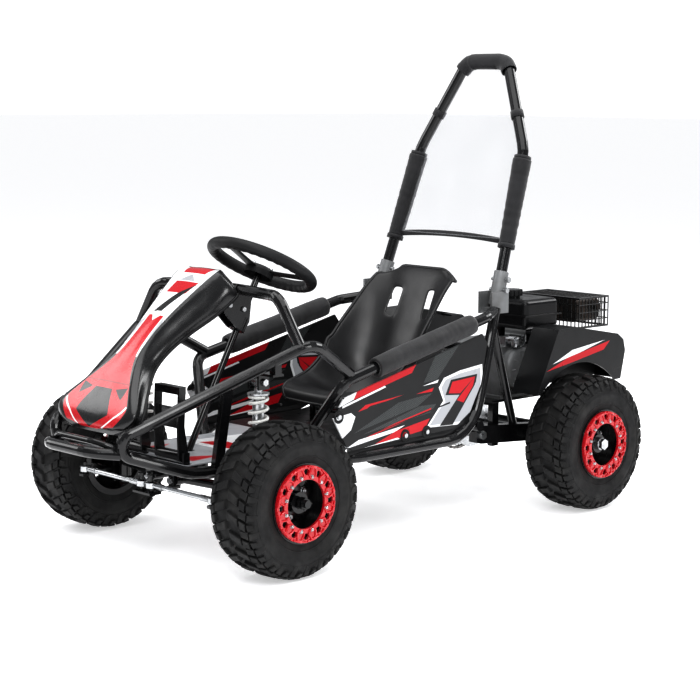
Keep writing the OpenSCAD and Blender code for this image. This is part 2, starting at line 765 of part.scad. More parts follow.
// Lower half: piston rod, lower spring seat and bottom eye
module shock_rod(side) color(zinc) scale([side, 1, 1]) {
    low = shock_top - shock_len;
    difference() {
        union() {
            bar_x(shock_x - 11, shock_x + 11, shock_y, low, 28);
            translate([shock_x, shock_y, low + 10]) cylinder(r = 9, h = 32);
            translate([shock_x, shock_y, low + 40]) cylinder(d = spring_d, h = 4);
            translate([shock_x, shock_y, low + 40]) cylinder(r = 6, h = 86);
        }
        bar_x(shock_x - 20, shock_x + 20, shock_y, low, 2 * (stud_r + 4));
    }
}

// Round wire wound between the two spring seats
module coil_spring(side) color(spring_white) {
    wire = 3.4;
    coil_r = spring_d / 2 - wire - 0.5;
    bottom = shock_top - shock_len + 44 + wire + 0.2;
    top = shock_top - 28 - wire - 0.2;
    steps = 14 * spring_turns;
    scale([side, 1, 1]) skin([
        for (i = [0 : steps])
            let (
                a = 360 * spring_turns * i / steps,
                z = bottom + (top - bottom) * i / steps
            )
                [for (k = [0 : 7])
                    [
                        shock_x + (coil_r + wire * cos(45 * k)) * cos(a),
                        shock_y + (coil_r + wire * cos(45 * k)) * sin(a),
                        z + wire * sin(45 * k)
                    ]]
    ]);
}

// Fork with the kingpin, stub axle and steering arm
module knuckle(side) color(gloss_black) scale([side, 1, 1]) {
    plate_in = kingpin.x + 16;
    block([plate_in, kingpin.y - 20, 118], [plate_in + 7, kingpin.y + 20, 212]);
    for (z = [118, 202]) hull() {
        translate([kingpin.x, kingpin.y, z]) cylinder(r = 14, h = 10);
        block([plate_in, kingpin.y - 14, z], [plate_in + 5, kingpin.y + 14, z + 10]);
    }
    translate([kingpin.x, kingpin.y, 120]) cylinder(r = 6, h = 90);
    bar_x(plate_in, 392 + wheel_x - 321, kingpin.y, axle_z, 2 * spindle_r);
    bar_x(plate_in + 6, wheel_x - 62.4, kingpin.y, axle_z, 30);
    translate([wheel_x + 50, kingpin.y, axle_z]) rotate([0, 90, 0]) cylinder(d = 27, h = 14, $fn = 6);
    arm_outline = [
        [plate_in, kingpin.y - 6], [plate_in + 7, kingpin.y - 6], [plate_in + 7, kingpin.y - 28],
        [237, tie_rod_y - 6], [229, tie_rod_y - 14], [217, tie_rod_y - 12], [213, tie_rod_y + 2],
        [plate_in - 2, kingpin.y - 22]
    ];
    translate([0, 0, 147]) linear_extrude(6) polygon(arm_outline);
    translate([225, tie_rod_y, 150]) cylinder(r = stud_r, h = 28);
}

// ---------------------------------------------------------------- wheels

// Moves local Z, with zero at a wheel's middle, out to that wheel: side is 1 for left, -1 for right
module at_wheel(side, y) scale([side, 1, 1]) translate([wheel_x, y, axle_z]) rotate([0, 90, 0]) children();

module tyre_shape() {
    r = tyre_d / 2;
    w = tyre_w / 2;
    bead = rim_d / 2 + 0.2;
    outer = [
        [bead, w - 8.4], [bead + 10, w - 7.7], [r - 50, w], [r - 22, w - 1], [r - 8, w - 9], [r, w - 22]
    ];
    inner = [[r - 12, w - 26], [r - 24, w - 13], [r - 50, w - 9], [bead + 12, w - 13], [bead, w - 16]];
    rotate_extrude($fn = 96) polygon(concat(
        outer, [for (i = [5 : -1 : 0]) [outer[i].x, -outer[i].y]],
        [for (i = [4 : -1 : 0]) [inner[i].x, -inner[i].y]], inner
    ));
}

module rim_shape(hub_r) {
    seat_r = rim_d / 2;
    difference() {
        union() {
            rotate_extrude($fn = 64) polygon([
                [seat_r - 5, -60], [seat_r + 9, -60], [seat_r + 9, -56.2], [seat_r, -56],
                [seat_r, 56], [seat_r + 9, 56.2], [seat_r + 9, 60], [seat_r - 5, 60]
            ]);
            translate([0, 0, 20]) cylinder(r = seat_r - 3, h = 5, $fn = 64);
            translate([0, 0, -62]) cylinder(r = 23, h = 108);
        }
        translate([0, 0, -70]) cylinder(r = hub_r, h = 140);
        for (a = [0 : 72 : 288]) rotate(a) translate([46, 0, 15]) cylinder(r = 11, h = 20);
    }
}

// Flat ring with alternate five-sided pockets and small round holes
module ring_shape() {
    r = ring_d / 2;
    translate([0, 0, 60]) difference() {
        cylinder(r = r, h = 6, $fn = 96);
        translate([0, 0, -1]) cylinder(r = r - 30, h = 8, $fn = 64);
        for (i = [0 : ring_pockets - 1]) rotate(360 * i / ring_pockets) {
            translate([r - 14, 0, -1]) linear_extrude(8)
                polygon([[-6, -4], [-6, 4], [1, 8], [7, 4], [7, -4], [1, -8]]);
            rotate(180 / ring_pockets) translate([r - 24, 0, -1]) cylinder(r = 3.2, h = 8, $fn = 16);
        }
    }
}

module tyre_front(side) color(rubber_black) at_wheel(side, front_y) tyre_shape();
module tyre_rear(side) color(rubber_black) at_wheel(side, rear_y) tyre_shape();
module rim_front(side) color(gloss_black) at_wheel(side, front_y) rim_shape(spindle_r + running_gap);
module rear_rims() color(gloss_black) for (s = [-1, 1]) at_wheel(s, rear_y) rim_shape(axle_r + 0.02);
module ring_front(side) color(signal_red) at_wheel(side, front_y) ring_shape();
module rear_rings() color(signal_red) for (s = [-1, 1]) at_wheel(s, rear_y) ring_shape();

// ---------------------------------------------------------------- pedals

// U-shaped pedal of flat bar between x1 and x2, with a foot plate across it
module pedal(x1, x2) color(gloss_black) {
    top = 386;
    y = pedal_pivot.y;
    difference() {
        union() {
            for (x = [x1, x2 - 5]) {
                plate_x(x, 5, [
                    [y - 10, 230], [y + 9, 230], [y + 13, 246], [y + 4, 300], [y + 8, top],
                    [y - 10, top], [y - 14, 300], [y - 12, 246]
                ]);
            }
            block([x1, y - 10, top - 16], [x2, y + 8, top]);
            block([x1, y - 4, 296], [x2, y + 1, 340]);
            bar_x(x1, x2, y, pedal_pivot.z, 24);
        }
        bar_x(x1 - 1, x2 + 1, y, pedal_pivot.z, 12 + 2 * running_gap);
    }
}

module brake_pedal() pedal(22, 106);
module throttle_pedal() pedal(-106, -22);

placed() main_rails();
placed() top_tubes();
placed() dash_hoop();
placed() front_bumper();
placed() front_subframe();
placed() cross_members();
placed() rear_cradle();
placed() axle_bearings();
placed() steering_bracket();
placed() floor_pan();
placed() seat();
placed() side_panel(1);  // side_panel_left
placed() side_panel(-1);  // side_panel_right
placed() side_pad(1);  // side_pad_left
placed() side_pad(-1);  // side_pad_right
placed() nose_fairing();
placed() rear_fender(1);  // rear_fender_left
placed() rear_fender(-1);  // rear_fender_right
placed() roll_bar();
placed() roll_bar_clamps();
placed() wind_net();
placed() engine_block();
placed() fuel_tank();
placed() fuel_cap();
placed() muffler();
placed() muffler_guard();
placed() carburettor();
placed() frame_bolts();
placed() brake_caliper();
placed() drive_chain();
placed() drive_sprocket();
placed() steering_wheel();
placed() steering_column();
placed() lower_arm(1);  // lower_arm_left
placed() lower_arm(-1);  // lower_arm_right
placed() shock_body(1);  // shock_body_left
placed() shock_body(-1);  // shock_body_right
placed() shock_rod(1);  // shock_rod_left
placed() shock_rod(-1);  // shock_rod_right
placed() coil_spring(1);  // coil_spring_left
placed() coil_spring(-1);  // coil_spring_right
placed() knuckle(1);  // knuckle_left
placed() knuckle(-1);  // knuckle_right
placed() tie_rod(1);  // tie_rod_left
placed() tie_rod(-1);  // tie_rod_right
placed() tyre_front(1);  // tyre_front_left
placed() tyre_front(-1);  // tyre_front_right
placed() tyre_rear(1);  // tyre_rear_left
placed() tyre_rear(-1);  // tyre_rear_right
placed() rim_front(1);  // rim_front_left
placed() rim_front(-1);  // rim_front_right
placed() rear_rims();
placed() ring_front(1);  // ring_front_left
placed() ring_front(-1);  // ring_front_right
placed() rear_rings();
placed() rear_axle();
placed() axle_sprocket();
placed() brake_disc();
placed() brake_pedal();
placed() throttle_pedal();
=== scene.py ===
import bpy
import bmesh
import math
from mathutils import Matrix, Vector, noise


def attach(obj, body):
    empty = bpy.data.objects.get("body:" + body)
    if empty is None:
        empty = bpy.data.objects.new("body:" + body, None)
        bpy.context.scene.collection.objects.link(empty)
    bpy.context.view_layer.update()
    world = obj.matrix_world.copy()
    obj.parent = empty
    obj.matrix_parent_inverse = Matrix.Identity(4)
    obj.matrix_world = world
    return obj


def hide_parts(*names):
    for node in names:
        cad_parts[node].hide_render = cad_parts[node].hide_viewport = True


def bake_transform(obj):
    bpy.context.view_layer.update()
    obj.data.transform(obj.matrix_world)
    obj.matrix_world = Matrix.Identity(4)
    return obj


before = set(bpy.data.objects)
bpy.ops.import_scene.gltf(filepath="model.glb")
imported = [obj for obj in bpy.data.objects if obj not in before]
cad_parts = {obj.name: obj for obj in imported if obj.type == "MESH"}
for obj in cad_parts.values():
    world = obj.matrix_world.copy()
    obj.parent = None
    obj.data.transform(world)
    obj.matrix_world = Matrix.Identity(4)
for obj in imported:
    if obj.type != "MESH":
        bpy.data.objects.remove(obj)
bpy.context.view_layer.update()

MM = 0.001
SHIFT_Y = 51  # the whole kart's offset along Y, as in the CAD

# Places repeated from part.scad, in millimetres of its design
HUB = (0, -288, 595)  # the steering wheel's hub
LEAN = math.radians(28.3)  # the steering column's
WHEEL_X = 321
FRONT_Y = -492
REAR_Y = 492
AXLE_Z = 165
ROLL_FOOT = Vector((197, 300, 515))
ROLL_SHOULDER = Vector((173, 418, 868))
ROLL_CORNER = Vector((67, 473, 1085))
SHOCK = (200, -460, 396)  # the shock absorber's top eye
DRIVE_SHAFT = (455, 330)  # the engine's output shaft, as (y, z)
CHAIN_X = -100
SIDES = {"left": 1, "right": -1}


def place(p):
    """A point of the design, in millimetres, as a point of the frame in metres."""
    return Vector((p[0], p[1] + SHIFT_Y, p[2])) * MM


# ---------------------------------------------------------------- shader helpers


class Shader:
    """A node material with one Principled surface."""

    def __init__(self, name, colour, roughness, **sockets):
        self.mat = bpy.data.materials.new(name)
        self.mat.use_nodes = True
        self.tree = self.mat.node_tree
        self.surface = self.tree.nodes["Principled BSDF"]
        self.surface.inputs["Base Color"].default_value = (*colour, 1)
        self.surface.inputs["Roughness"].default_value = roughness
        for socket, value in sockets.items():
            self.surface.inputs[socket.replace("_", " ")].default_value = value
        self.colour = colour
        self.coords = self.node("ShaderNodeTexCoord").outputs["Object"]
        self.height = None

    def node(self, kind, **settings):
        made = self.tree.nodes.new(kind)
        for key, value in settings.items():
            setattr(made, key, value)
        return made

    def link(self, source, target):
        if isinstance(source, (int, float)):
            target.default_value = source
        else:
            self.tree.links.new(source, target)

    def maths(self, operation, a, b=0.0, clamp=False):
        made = self.node("ShaderNodeMath", operation=operation, use_clamp=clamp)
        self.link(a, made.inputs[0])
        self.link(b, made.inputs[1])
        return made.outputs[0]

    def noise(self, scale, detail=3.0, stretch=None):
        made = self.node("ShaderNodeTexNoise")
        made.inputs["Scale"].default_value = scale
        made.inputs["Detail"].default_value = detail
        if stretch:
            squeeze = self.node("ShaderNodeMapping")
            squeeze.inputs["Scale"].default_value = stretch
            self.link(self.coords, squeeze.inputs["Vector"])
            self.link(squeeze.outputs[0], made.inputs["Vector"])
        else:
            self.link(self.coords, made.inputs["Vector"])
        return made.outputs["Fac"]

    def cells(self, scale, feature="F1"):
        made = self.node("ShaderNodeTexVoronoi", feature=feature)
        made.inputs["Scale"].default_value = scale
        self.link(self.coords, made.inputs["Vector"])
        return made.outputs["Distance"]

    def span(self, source, low, high, start=0.0, end=1.0):
        made = self.node("ShaderNodeMapRange")
        self.link(source, made.inputs["Value"])
        for socket, value in zip(("From Min", "From Max", "To Min", "To Max"), (start, end, low, high)):
            made.inputs[socket].default_value = value
        return made.outputs[0]

    def mixed(self, factor, a, b):
        """Colour a where factor is 0 and b where it is 1. Either may be a triple or a link."""
        made = self.node("ShaderNodeMix", data_type="RGBA")
        self.link(factor, made.inputs["Factor"])
        for value, socket in ((a, made.inputs["A"]), (b, made.inputs["B"])):
            if isinstance(value, tuple):
                socket.default_value = (*value, 1)
            else:
                self.link(value, socket)
        return made.outputs["Result"]

    def rough(self, scale, low, high, stretch=None):
        patches = self.span(self.noise(scale, 4, stretch), low, high, 0.3, 0.7)
        self.link(patches, self.surface.inputs["Roughness"])

    def tint(self, scale, other, amount):
        """Varies the colour in soft patches towards another colour."""
        patches = self.span(self.noise(scale, 4), 0.0, amount, 0.42, 0.75)
        self.link(self.mixed(patches, self.colour, other), self.surface.inputs["Base Color"])

    def relief(self, height, distance, strength=1.0):
        """Adds a bump, in metres, on top of edges that the shader rounds off."""
        made = self.node("ShaderNodeBump")
        made.inputs["Distance"].default_value = distance
        made.inputs["Strength"].default_value = strength
        self.link(height, made.inputs["Height"])
        if self.height is None:
            edge = self.node("ShaderNodeBevel", samples=4)
            edge.inputs["Radius"].default_value = 0.0009
            self.height = edge.outputs[0]
        self.link(self.height, made.inputs["Normal"])
        self.height = made.outputs[0]
        self.link(self.height, self.surface.inputs["Normal"])


def inside(shader, u, v, corners):
    """1 inside a convex polygon of (u, v) corners listed in either direction, 0 outside."""
    middle = (sum(c[0] for c in corners) / len(corners), sum(c[1] for c in corners) / len(corners))
    result = None
    for (u1, v1), (u2, v2) in zip(corners, corners[1:] + corners[:1]):
        across, along = v1 - v2, u2 - u1
        limit = across * u1 + along * v1
        if across * middle[0] + along * middle[1] < limit:
            across, along, limit = -across, -along, -limit
        level = shader.maths("MULTIPLY_ADD", v, along)
        level.node.inputs[2].default_value = -limit
        total = shader.maths("MULTIPLY_ADD", u, across)
        shader.link(level, total.node.inputs[2])
        step = shader.maths("GREATER_THAN", total, 0.0)
        result = step if result is None else shader.maths("MINIMUM", result, step)
    return result


def livery(shader, u, v, shapes, base):
    """Paints the shapes, each a colour and a convex polygon, one over another."""
    painted = base
    for colour, corners in shapes:
        painted = shader.mixed(inside(shader, u, v, corners), painted, colour)
    shader.link(painted, shader.surface.inputs["Base Color"])


RED = (0.50, 0.006, 0.016)
DEEP_RED = (0.30, 0.008, 0.015)
WHITE = (0.78, 0.79, 0.80)
GREY = (0.42, 0.43, 0.45)
BLACK = (0.012, 0.012, 0.013)
CHARCOAL = (0.009, 0.0092, 0.010)


def powder_coat():
    s = Shader("powder_coat_black", (0.006, 0.006, 0.007), 0.16, Coat_Weight=0.3, Coat_Roughness=0.05)
    s.tint(9, (0.014, 0.014, 0.015), 0.8)
    s.rough(35, 0.12, 0.24)
    s.relief(s.noise(420, 2), 0.00012, 0.35)
    s.relief(s.noise(60, 3), 0.0002, 0.15)
    return s.mat


def moulded(name="moulded_black", colour=CHARCOAL, roughness=0.42):
    s = Shader(name, colour, roughness, Specular_IOR_Level=0.38)
    s.tint(14, (0.017, 0.0175, 0.019), 0.6)
    s.rough(22, roughness - 0.07, roughness + 0.08)
    s.relief(s.cells(900), 0.00016, 0.5)
    return s.mat


def seat_vinyl():
    s = Shader("seat_vinyl", (0.012, 0.012, 0.013), 0.33, Coat_Weight=0.15, Coat_Roughness=0.25)
    s.tint(11, (0.022, 0.022, 0.024), 0.7)
    s.rough(18, 0.28, 0.42)
    s.relief(s.cells(620, "SMOOTH_F1"), 0.0003, 0.5)
    s.relief(s.noise(35, 3), 0.0006, 0.25)
    return s.mat


def tyre_rubber():
    s = Shader("tyre_rubber", (0.016, 0.016, 0.017), 0.62)
    dust = s.span(s.noise(24, 6), 0.0, 0.75, 0.48, 0.8)
    s.link(s.mixed(dust, (0.009, 0.009, 0.0095), (0.036, 0.035, 0.033)), s.surface.inputs["Base Color"])
    s.rough(40, 0.50, 0.78)
    s.relief(s.noise(900, 2), 0.00025, 0.6)
    s.relief(s.noise(75, 4), 0.0006, 0.3)
    return s.mat


def zinc(name="zinc_steel", colour=(0.56, 0.57, 0.58), stretch=(1, 1, 1)):
    s = Shader(name, colour, 0.28, Metallic=1.0)
    s.tint(30, tuple(c * 0.62 for c in colour), 0.8)
    s.rough(120, 0.2, 0.42, stretch)
    s.relief(s.noise(500, 2, stretch), 0.0001, 0.4)
    return s.mat


def cast_aluminium():
    s = Shader("cast_aluminium", (0.24, 0.245, 0.25), 0.5, Metallic=0.35)
    s.tint(16, (0.12, 0.115, 0.11), 0.8)
    s.rough(45, 0.38, 0.62)
    s.relief(s.noise(650, 3), 0.0004, 0.6)
    return s.mat


def ring_paint():
    s = Shader("ring_paint", RED, 0.24, Coat_Weight=0.7, Coat_Roughness=0.07)
    s.tint(28, (0.50, 0.012, 0.022), 0.7)
    s.rough(60, 0.2, 0.34)
    s.relief(s.noise(380, 2), 0.0001, 0.35)
    return s.mat


def spring_paint():
    s = Shader("spring_paint", (0.80, 0.80, 0.78), 0.26, Coat_Weight=0.5, Coat_Roughness=0.1)
    s.tint(45, (0.60, 0.60, 0.57), 0.6)
    s.rough(70, 0.2, 0.36)
    s.relief(s.noise(400, 2), 0.0001, 0.3)
    return s.mat


def woven(name, colour, pitch, roughness=0.78, other=(0.03, 0.03, 0.033)):
    """Webbing or coated cloth: two crossed sets of threads, one every pitch metres."""
    s = Shader(name, colour, roughness, Sheen_Weight=0.25)
    s.tint(25, other, 0.8)
    ribs = []
    for axis in "XYZ":
        wave = s.node("ShaderNodeTexWave", bands_direction=axis)
        wave.inputs["Scale"].default_value = 1 / pitch / 20 * math.tau / 2
        s.link(s.coords, wave.inputs["Vector"])
        ribs.append(wave.outputs["Fac"])
    threads = s.maths("MAXIMUM", s.maths("MULTIPLY", ribs[0], ribs[2]), ribs[1])
    s.relief(threads, 0.0003, 0.5)
    s.relief(s.noise(60, 4), 0.0008, 0.35)
    s.rough(50, roughness - 0.1, roughness + 0.1)
    return s.mat


def clear_film():
    s = Shader("clear_film", (0.50, 0.51, 0.53), 0.3, Alpha=0.26)
    s.rough(14, 0.2, 0.42)
    s.relief(s.noise(9, 1), 0.004, 0.15)
    s.tint(12, (0.42, 0.43, 0.46), 0.6)
    return s.mat


def muffler_steel():
    s = Shader("muffler_steel", (0.045, 0.044, 0.043), 0.55, Metallic=0.6)
    s.tint(22, (0.12, 0.075, 0.05), 0.6)
    s.rough(50, 0.42, 0.7)
    s.relief(s.noise(520, 3), 0.0004, 0.5)
    return s.mat


# Livery of the side panels: shapes in millimetres on the panel's own plane, as (y, z).
# PANEL_SHAPES, WEAVE_SHAPES and FENDER_SHAPES were traced from the photograph. NOSE_SHAPES and
# FLOOR_SHAPES follow it loosely. All still have to be replaced by a generic livery.
PANEL_SHAPES = [
    (WHITE, [(-290, 320), (-254, 346), (-214, 361), (-229, 338)]),
    (RED, [(-229, 337), (-214, 361), (-156, 376), (-28, 402), (-46, 379)]),
    (WHITE, [(-263, 322), (-263, 327), (-132, 359), (-128, 355)]),
    (RED, [(-215, 309), (-192, 322), (-72, 332)]),
    (BLACK, [(-190, 312), (-178, 318), (-105, 326)]),
    (WHITE, [(-300, 286), (-292, 303), (-236, 309), (-223, 299), (-236, 271), (-262, 255)]),
    (WHITE, [(-11, 345), (43, 355), (39, 348)]),
    (RED, [(-31, 329), (27, 338), (21, 329)]),
    (RED, [(-226, 240), (-98, 270), (20, 292), (18, 288), (-98, 264)]),
    (WHITE, [(-254, 230), (-212, 246), (-66, 262), (-98, 250)]),
    (RED, [(-162, 230), (-94, 252), (15, 268), (-3, 243), (-82, 235)]),
    (WHITE, [(-197, 226), (-90, 236), (-82, 232)]),
    (WHITE, [(43, 336), (60, 357), (114, 369), (191, 377), (195, 333), (172, 274), (136, 241), (61, 300)]),
    (WHITE, [(3, 247), (136, 241), (150, 262), (61, 306), (40, 285)]),
    (GREY, [(52, 335), (66, 352), (114, 362), (185, 369), (187, 333), (167, 277), (134, 249), (66, 300)]),
    (GREY, [(14, 251), (134, 248), (140, 262), (66, 300), (46, 284)]),
    (BLACK, [(66, 316), (84, 350), (174, 355), (170, 336), (134, 310)]),
    (RED, [(77, 319), (89, 345), (167, 350), (163, 338), (130, 314)]),
    (BLACK, [(120, 318), (170, 352), (166, 330), (92, 244), (48, 246)]),
    (RED, [(126, 318), (167, 350), (160, 328), (128, 292), (105, 300)]),
    (BLACK, [(-247, 241), (82, 299), (82, 295)]),
]
NUMBER_PARTS = 9  # the last shapes: the number field, then a thin line that only the left side has
NUMBER_Y = 116  # the number turns round about this place


def other_side(shapes):
    """The panel's shapes for the kart's right, with its number turned round so that it still reads."""
    field = []
    for colour, corners in shapes[-NUMBER_PARTS:-1]:
        field.append((colour, [(2 * NUMBER_Y - y, z) for y, z in corners]))
    return shapes[:-NUMBER_PARTS] + field


WEAVE_SHAPES = [
    [(-228, 262), (-87, 316), (23, 326), (-26, 300)],
    [(-201, 256), (-18, 300), (36, 299), (15, 281)],
    [(-7, 352), (46, 436), (121, 456), (125, 444), (37, 355)],
]
FENDER_SHAPES = [
    (WHITE, [(386, 362), (461, 391), (585, 405), (490, 382)]),
    (RED, [(364, 346), (443, 373), (606, 402), (582, 381), (471, 362)]),
]
FLOOR_SHAPES = [
    (GREY, [(-130, -735), (130, -735), (225, -200), (-225, -200)]),
    (WHITE, [(-95, -430), (95, -430), (70, -250), (-70, -250)]),
    (RED, [(-60, -410), (60, -410), (40, -360), (-40, -360)]),
    (RED, [(-60, -260), (60, -260), (40, -300), (-40, -300)]),
    (WHITE, [(-60, -220), (60, -220), (0, -140)]),
    (RED, [(-100, -560), (-40, -560), (-90, -470)]),
    (RED, [(100, -560), (40, -560), (90, -470)]),
]
# Livery of the nose: u runs across the top face from -1 to 1, v from the tip to the hoop
NOSE_SHAPES = [
    (WHITE, [(-0.86, 0.59), (0.86, 0.59), (0.90, 0.97), (-0.90, 0.97)]),
    (WHITE, [(-0.78, 0.45), (0.78, 0.45), (0.86, 0.62), (-0.86, 0.62)]),
    (RED, [(-0.72, 0.97), (0.68, 0.97), (0.52, 0.88), (-0.54, 0.88)]),
    (GREY, [(-0.68, 0.86), (-0.34, 0.905), (0, 0.87), (0.34, 0.905), (0.66, 0.86), (0.5, 0.83),
            (-0.5, 0.83)]),
    (RED, [(-0.60, 0.765), (-0.50, 0.825), (0.66, 0.825), (0.52, 0.765)]),
    (BLACK, [(0.14, 0.765), (0.66, 0.815), (0.10, 0.672), (-0.42, 0.672)]),
    (RED, [(-0.54, 0.655), (0.54, 0.655), (0.66, 0.46), (-0.66, 0.46)]),
    (GREY, [(-0.86, 0.62), (-0.62, 0.655), (-0.72, 0.54), (-0.84, 0.50)]),
    (GREY, [(0.86, 0.62), (0.62, 0.655), (0.72, 0.54), (0.84, 0.50)]),
    (WHITE, [(-0.36, 0.66), (0, 0.628), (0.36, 0.66), (0.2, 0.675), (-0.2, 0.675)]),
    (RED, [(-0.66, 0.47), (0.66, 0.47), (0.86, 0.33), (-0.86, 0.33)]),
    (RED, [(-0.90, 0.23), (-0.86, 0.335), (0.86, 0.335), (0.90, 0.22), (0.80, 0.10), (0.30, 0.055),
           (-0.30, 0.055), (-0.80, 0.10)]),
    (BLACK, [(-0.84, 0.320), (-0.42, 0.305), (-0.66, 0.265)]),
    (BLACK, [(0.84, 0.320), (0.42, 0.305), (0.66, 0.265)]),
    (CHARCOAL, [(-0.30, 0.305), (0.30, 0.305), (0.46, 0.18), (0, 0.065), (-0.46, 0.18)]),
    (WHITE, [(0.64, 0.175), (0.88, 0.245), (0.90, 0.235), (0.66, 0.160)]),
    (WHITE, [(0.42, 0.075), (0.64, 0.175), (0.66, 0.160), (0.48, 0.070)]),
    (WHITE, [(-0.64, 0.175), (-0.88, 0.245), (-0.90, 0.235), (-0.66, 0.160)]),
    (WHITE, [(-0.42, 0.075), (-0.64, 0.175), (-0.66, 0.160), (-0.48, 0.070)]),
    (DEEP_RED, [(-0.88, 0.338), (0.88, 0.338), (0.88, 0.330), (-0.88, 0.330)]),
]


def printed_panel(name, shapes, weave=(), axes=("Y", "Z")):
    """Moulded plastic with a printed graphic, laid out on two of the object's own axes in millimetres."""
    s = Shader(name, CHARCOAL, 0.34, Specular_IOR_Level=0.4, Coat_Weight=0.12, Coat_Roughness=0.2)
    parts = s.node("ShaderNodeSeparateXYZ")
    s.link(s.coords, parts.inputs[0])
    plane = []
    for axis in axes:
        value = s.maths("MULTIPLY", parts.outputs[axis], 1 / MM)
        plane.append(s.maths("SUBTRACT", value, SHIFT_Y) if axis == "Y" else value)
    base = s.mixed(s.span(s.noise(14, 4), 0, 0.6), CHARCOAL, (0.015, 0.0155, 0.017))
    for corners in weave:
        check = s.node("ShaderNodeTexChecker")
        check.inputs["Scale"].default_value = 420
        check.inputs["Color1"].default_value = (0.018, 0.018, 0.02, 1)
        check.inputs["Color2"].default_value = (0.085, 0.095, 0.095, 1)
        s.link(s.coords, check.inputs["Vector"])
        base = s.mixed(inside(s, plane[0], plane[1], corners), base, check.outputs["Color"])
    livery(s, plane[0], plane[1], shapes, base)
    s.rough(26, 0.26, 0.42)
    s.relief(s.cells(850), 0.00014, 0.4)
    return s.mat


def nose_print():
    s = Shader("nose_print", BLACK, 0.26, Coat_Weight=0.5, Coat_Roughness=0.12)
    layout = s.node("ShaderNodeUVMap", uv_map="livery")
    parts = s.node("ShaderNodeSeparateXYZ")
    s.link(layout.outputs[0], parts.inputs[0])
    base = s.mixed(s.span(s.noise(16, 4), 0, 0.6), CHARCOAL, (0.015, 0.0155, 0.017))
    livery(s, parts.outputs["X"], parts.outputs["Y"], NOSE_SHAPES, base)
    s.rough(24, 0.18, 0.34)
    s.relief(s.cells(900), 0.00012, 0.35)
    return s.mat


# ---------------------------------------------------------------- mesh helpers


def mesh_object(name, bm, material, smooth=True):
    """Turns a bmesh in millimetres of the design into an object of the frame."""
    for v in bm.verts:
        v.co = place(v.co)
    bmesh.ops.recalc_face_normals(bm, faces=bm.faces)
    mesh = bpy.data.meshes.new(name)
    bm.to_mesh(mesh)
    bm.free()
    obj = bpy.data.objects.new(name, mesh)
    bpy.context.scene.collection.objects.link(obj)
    mesh.materials.append(material)
    for face in mesh.polygons:
        face.use_smooth = smooth
    return obj


def modify(obj, kind, **settings):
    made = obj.modifiers.new(kind.lower(), kind)
    for key, value in settings.items():
        setattr(made, key, value)
    return made


def grid(bm, rows, closed=False):
    """Faces between rows of points. Closed rows join their last point to their first."""
    made = [[bm.verts.new(p) for p in row] for row in rows]
    for low, high in zip(made, made[1:]):
        count = len(low)
        for k in range(count if closed else count - 1):
            bm.faces.new((low[k], low[(k + 1) % count], high[(k + 1) % count], high[k]))
    return made


def tube(bm, path, radius, sides=16, cap=True):
    """A tube along a path of Vectors. The radius may be a function of the share of the path."""
    rows = []
    side = None
    for i, p in enumerate(path):
        ahead = path[min(i + 1, len(path) - 1)] - path[max(i - 1, 0)]
        ahead.normalize()
        if side is None:
            side = ahead.orthogonal().normalized()
        side = (side - ahead * side.dot(ahead)).normalized()
        up = ahead.cross(side)
        share = i / (len(path) - 1)
        r = radius(share) if callable(radius) else radius
        turns = [math.tau * k / sides for k in range(sides)]
        rows.append([p + r * (side * math.cos(a) + up * math.sin(a)) for a in turns])
    made = grid(bm, rows, closed=True)
    if cap:
        bm.faces.new(made[0])
        bm.faces.new(made[-1])


def lathe(bm, profile, axis, origin, sides=48):
    """Turns a profile of (distance along the axis, radius) round an axis through origin."""
    axis = Vector(axis).normalized()
    side = axis.orthogonal().normalized()
    up = axis.cross(side)
    rows = []
    for along, r in profile:
        turns = [math.tau * k / sides for k in range(sides)]
        middle = Vector(origin) + axis * along
        rows.append([middle + r * (side * math.cos(a) + up * math.sin(a)) for a in turns])
    grid(bm, rows, closed=True)


def hex_bolt(bm, origin, axis, size):
    """A flanged hexagon head, its washer and the end of its thread."""
    lathe(bm, [(0, 0.1), (0, size * 0.72), (1.2, size * 0.72), (1.6, size * 0.6)], axis, origin, 24)
    lathe(bm, [(1.4, size * 0.57), (size * 0.5, size * 0.57), (size * 0.58, size * 0.48), (size * 0.58, 0.1)],
          axis, origin, 6)
    lathe(bm, [(size * 0.5, size * 0.26), (size * 0.82, size * 0.26), (size * 0.88, 0.1)], axis, origin, 12)


def smooth_line(points, steps):
    """A Catmull-Rom curve through points, each a tuple of any length."""
    curve = []
    last = len(points) - 1
    for i in range(last):
        a, b, c, d = (points[max(0, min(last, k))] for k in (i - 1, i, i + 1, i + 2))
        for k in range(steps):
            t = k / steps
            curve.append(tuple(
                0.5 * (2 * q + (r - p) * t + (2 * p - 5 * q + 4 * r - s) * t ** 2
                       + (3 * q - p - 3 * r + s) * t ** 3)
                for p, q, r, s in zip(a, b, c, d)
            ))
    curve.append(tuple(points[-1]))
    return curve


# ---------------------------------------------------------------- camera, floor and light


def camera():
    """The photograph's viewing direction and field of view."""
    azimuth, elevation, roll = (math.radians(a) for a in (45.992, 7.903, 0.416))
    forward = Vector((
        -math.sin(azimuth) * math.cos(elevation),
        math.cos(azimuth) * math.cos(elevation),
        -math.sin(elevation),
    ))
    right = Vector((math.cos(azimuth), math.sin(azimuth), 0))
    up = right.cross(forward)
    turn = Matrix((right, up, -forward)).transposed() @ Matrix.Rotation(roll, 3, "Z")
    data = bpy.data.cameras.new("camera")
    data.lens = 95.83
    data.sensor_width = 36
    obj = bpy.data.objects.new("camera", data)
    obj.matrix_world = Matrix.Translation((3.1525, -2.991, 1.0089)) @ turn.to_4x4()
    bpy.context.scene.collection.objects.link(obj)
    bpy.context.scene.camera = obj


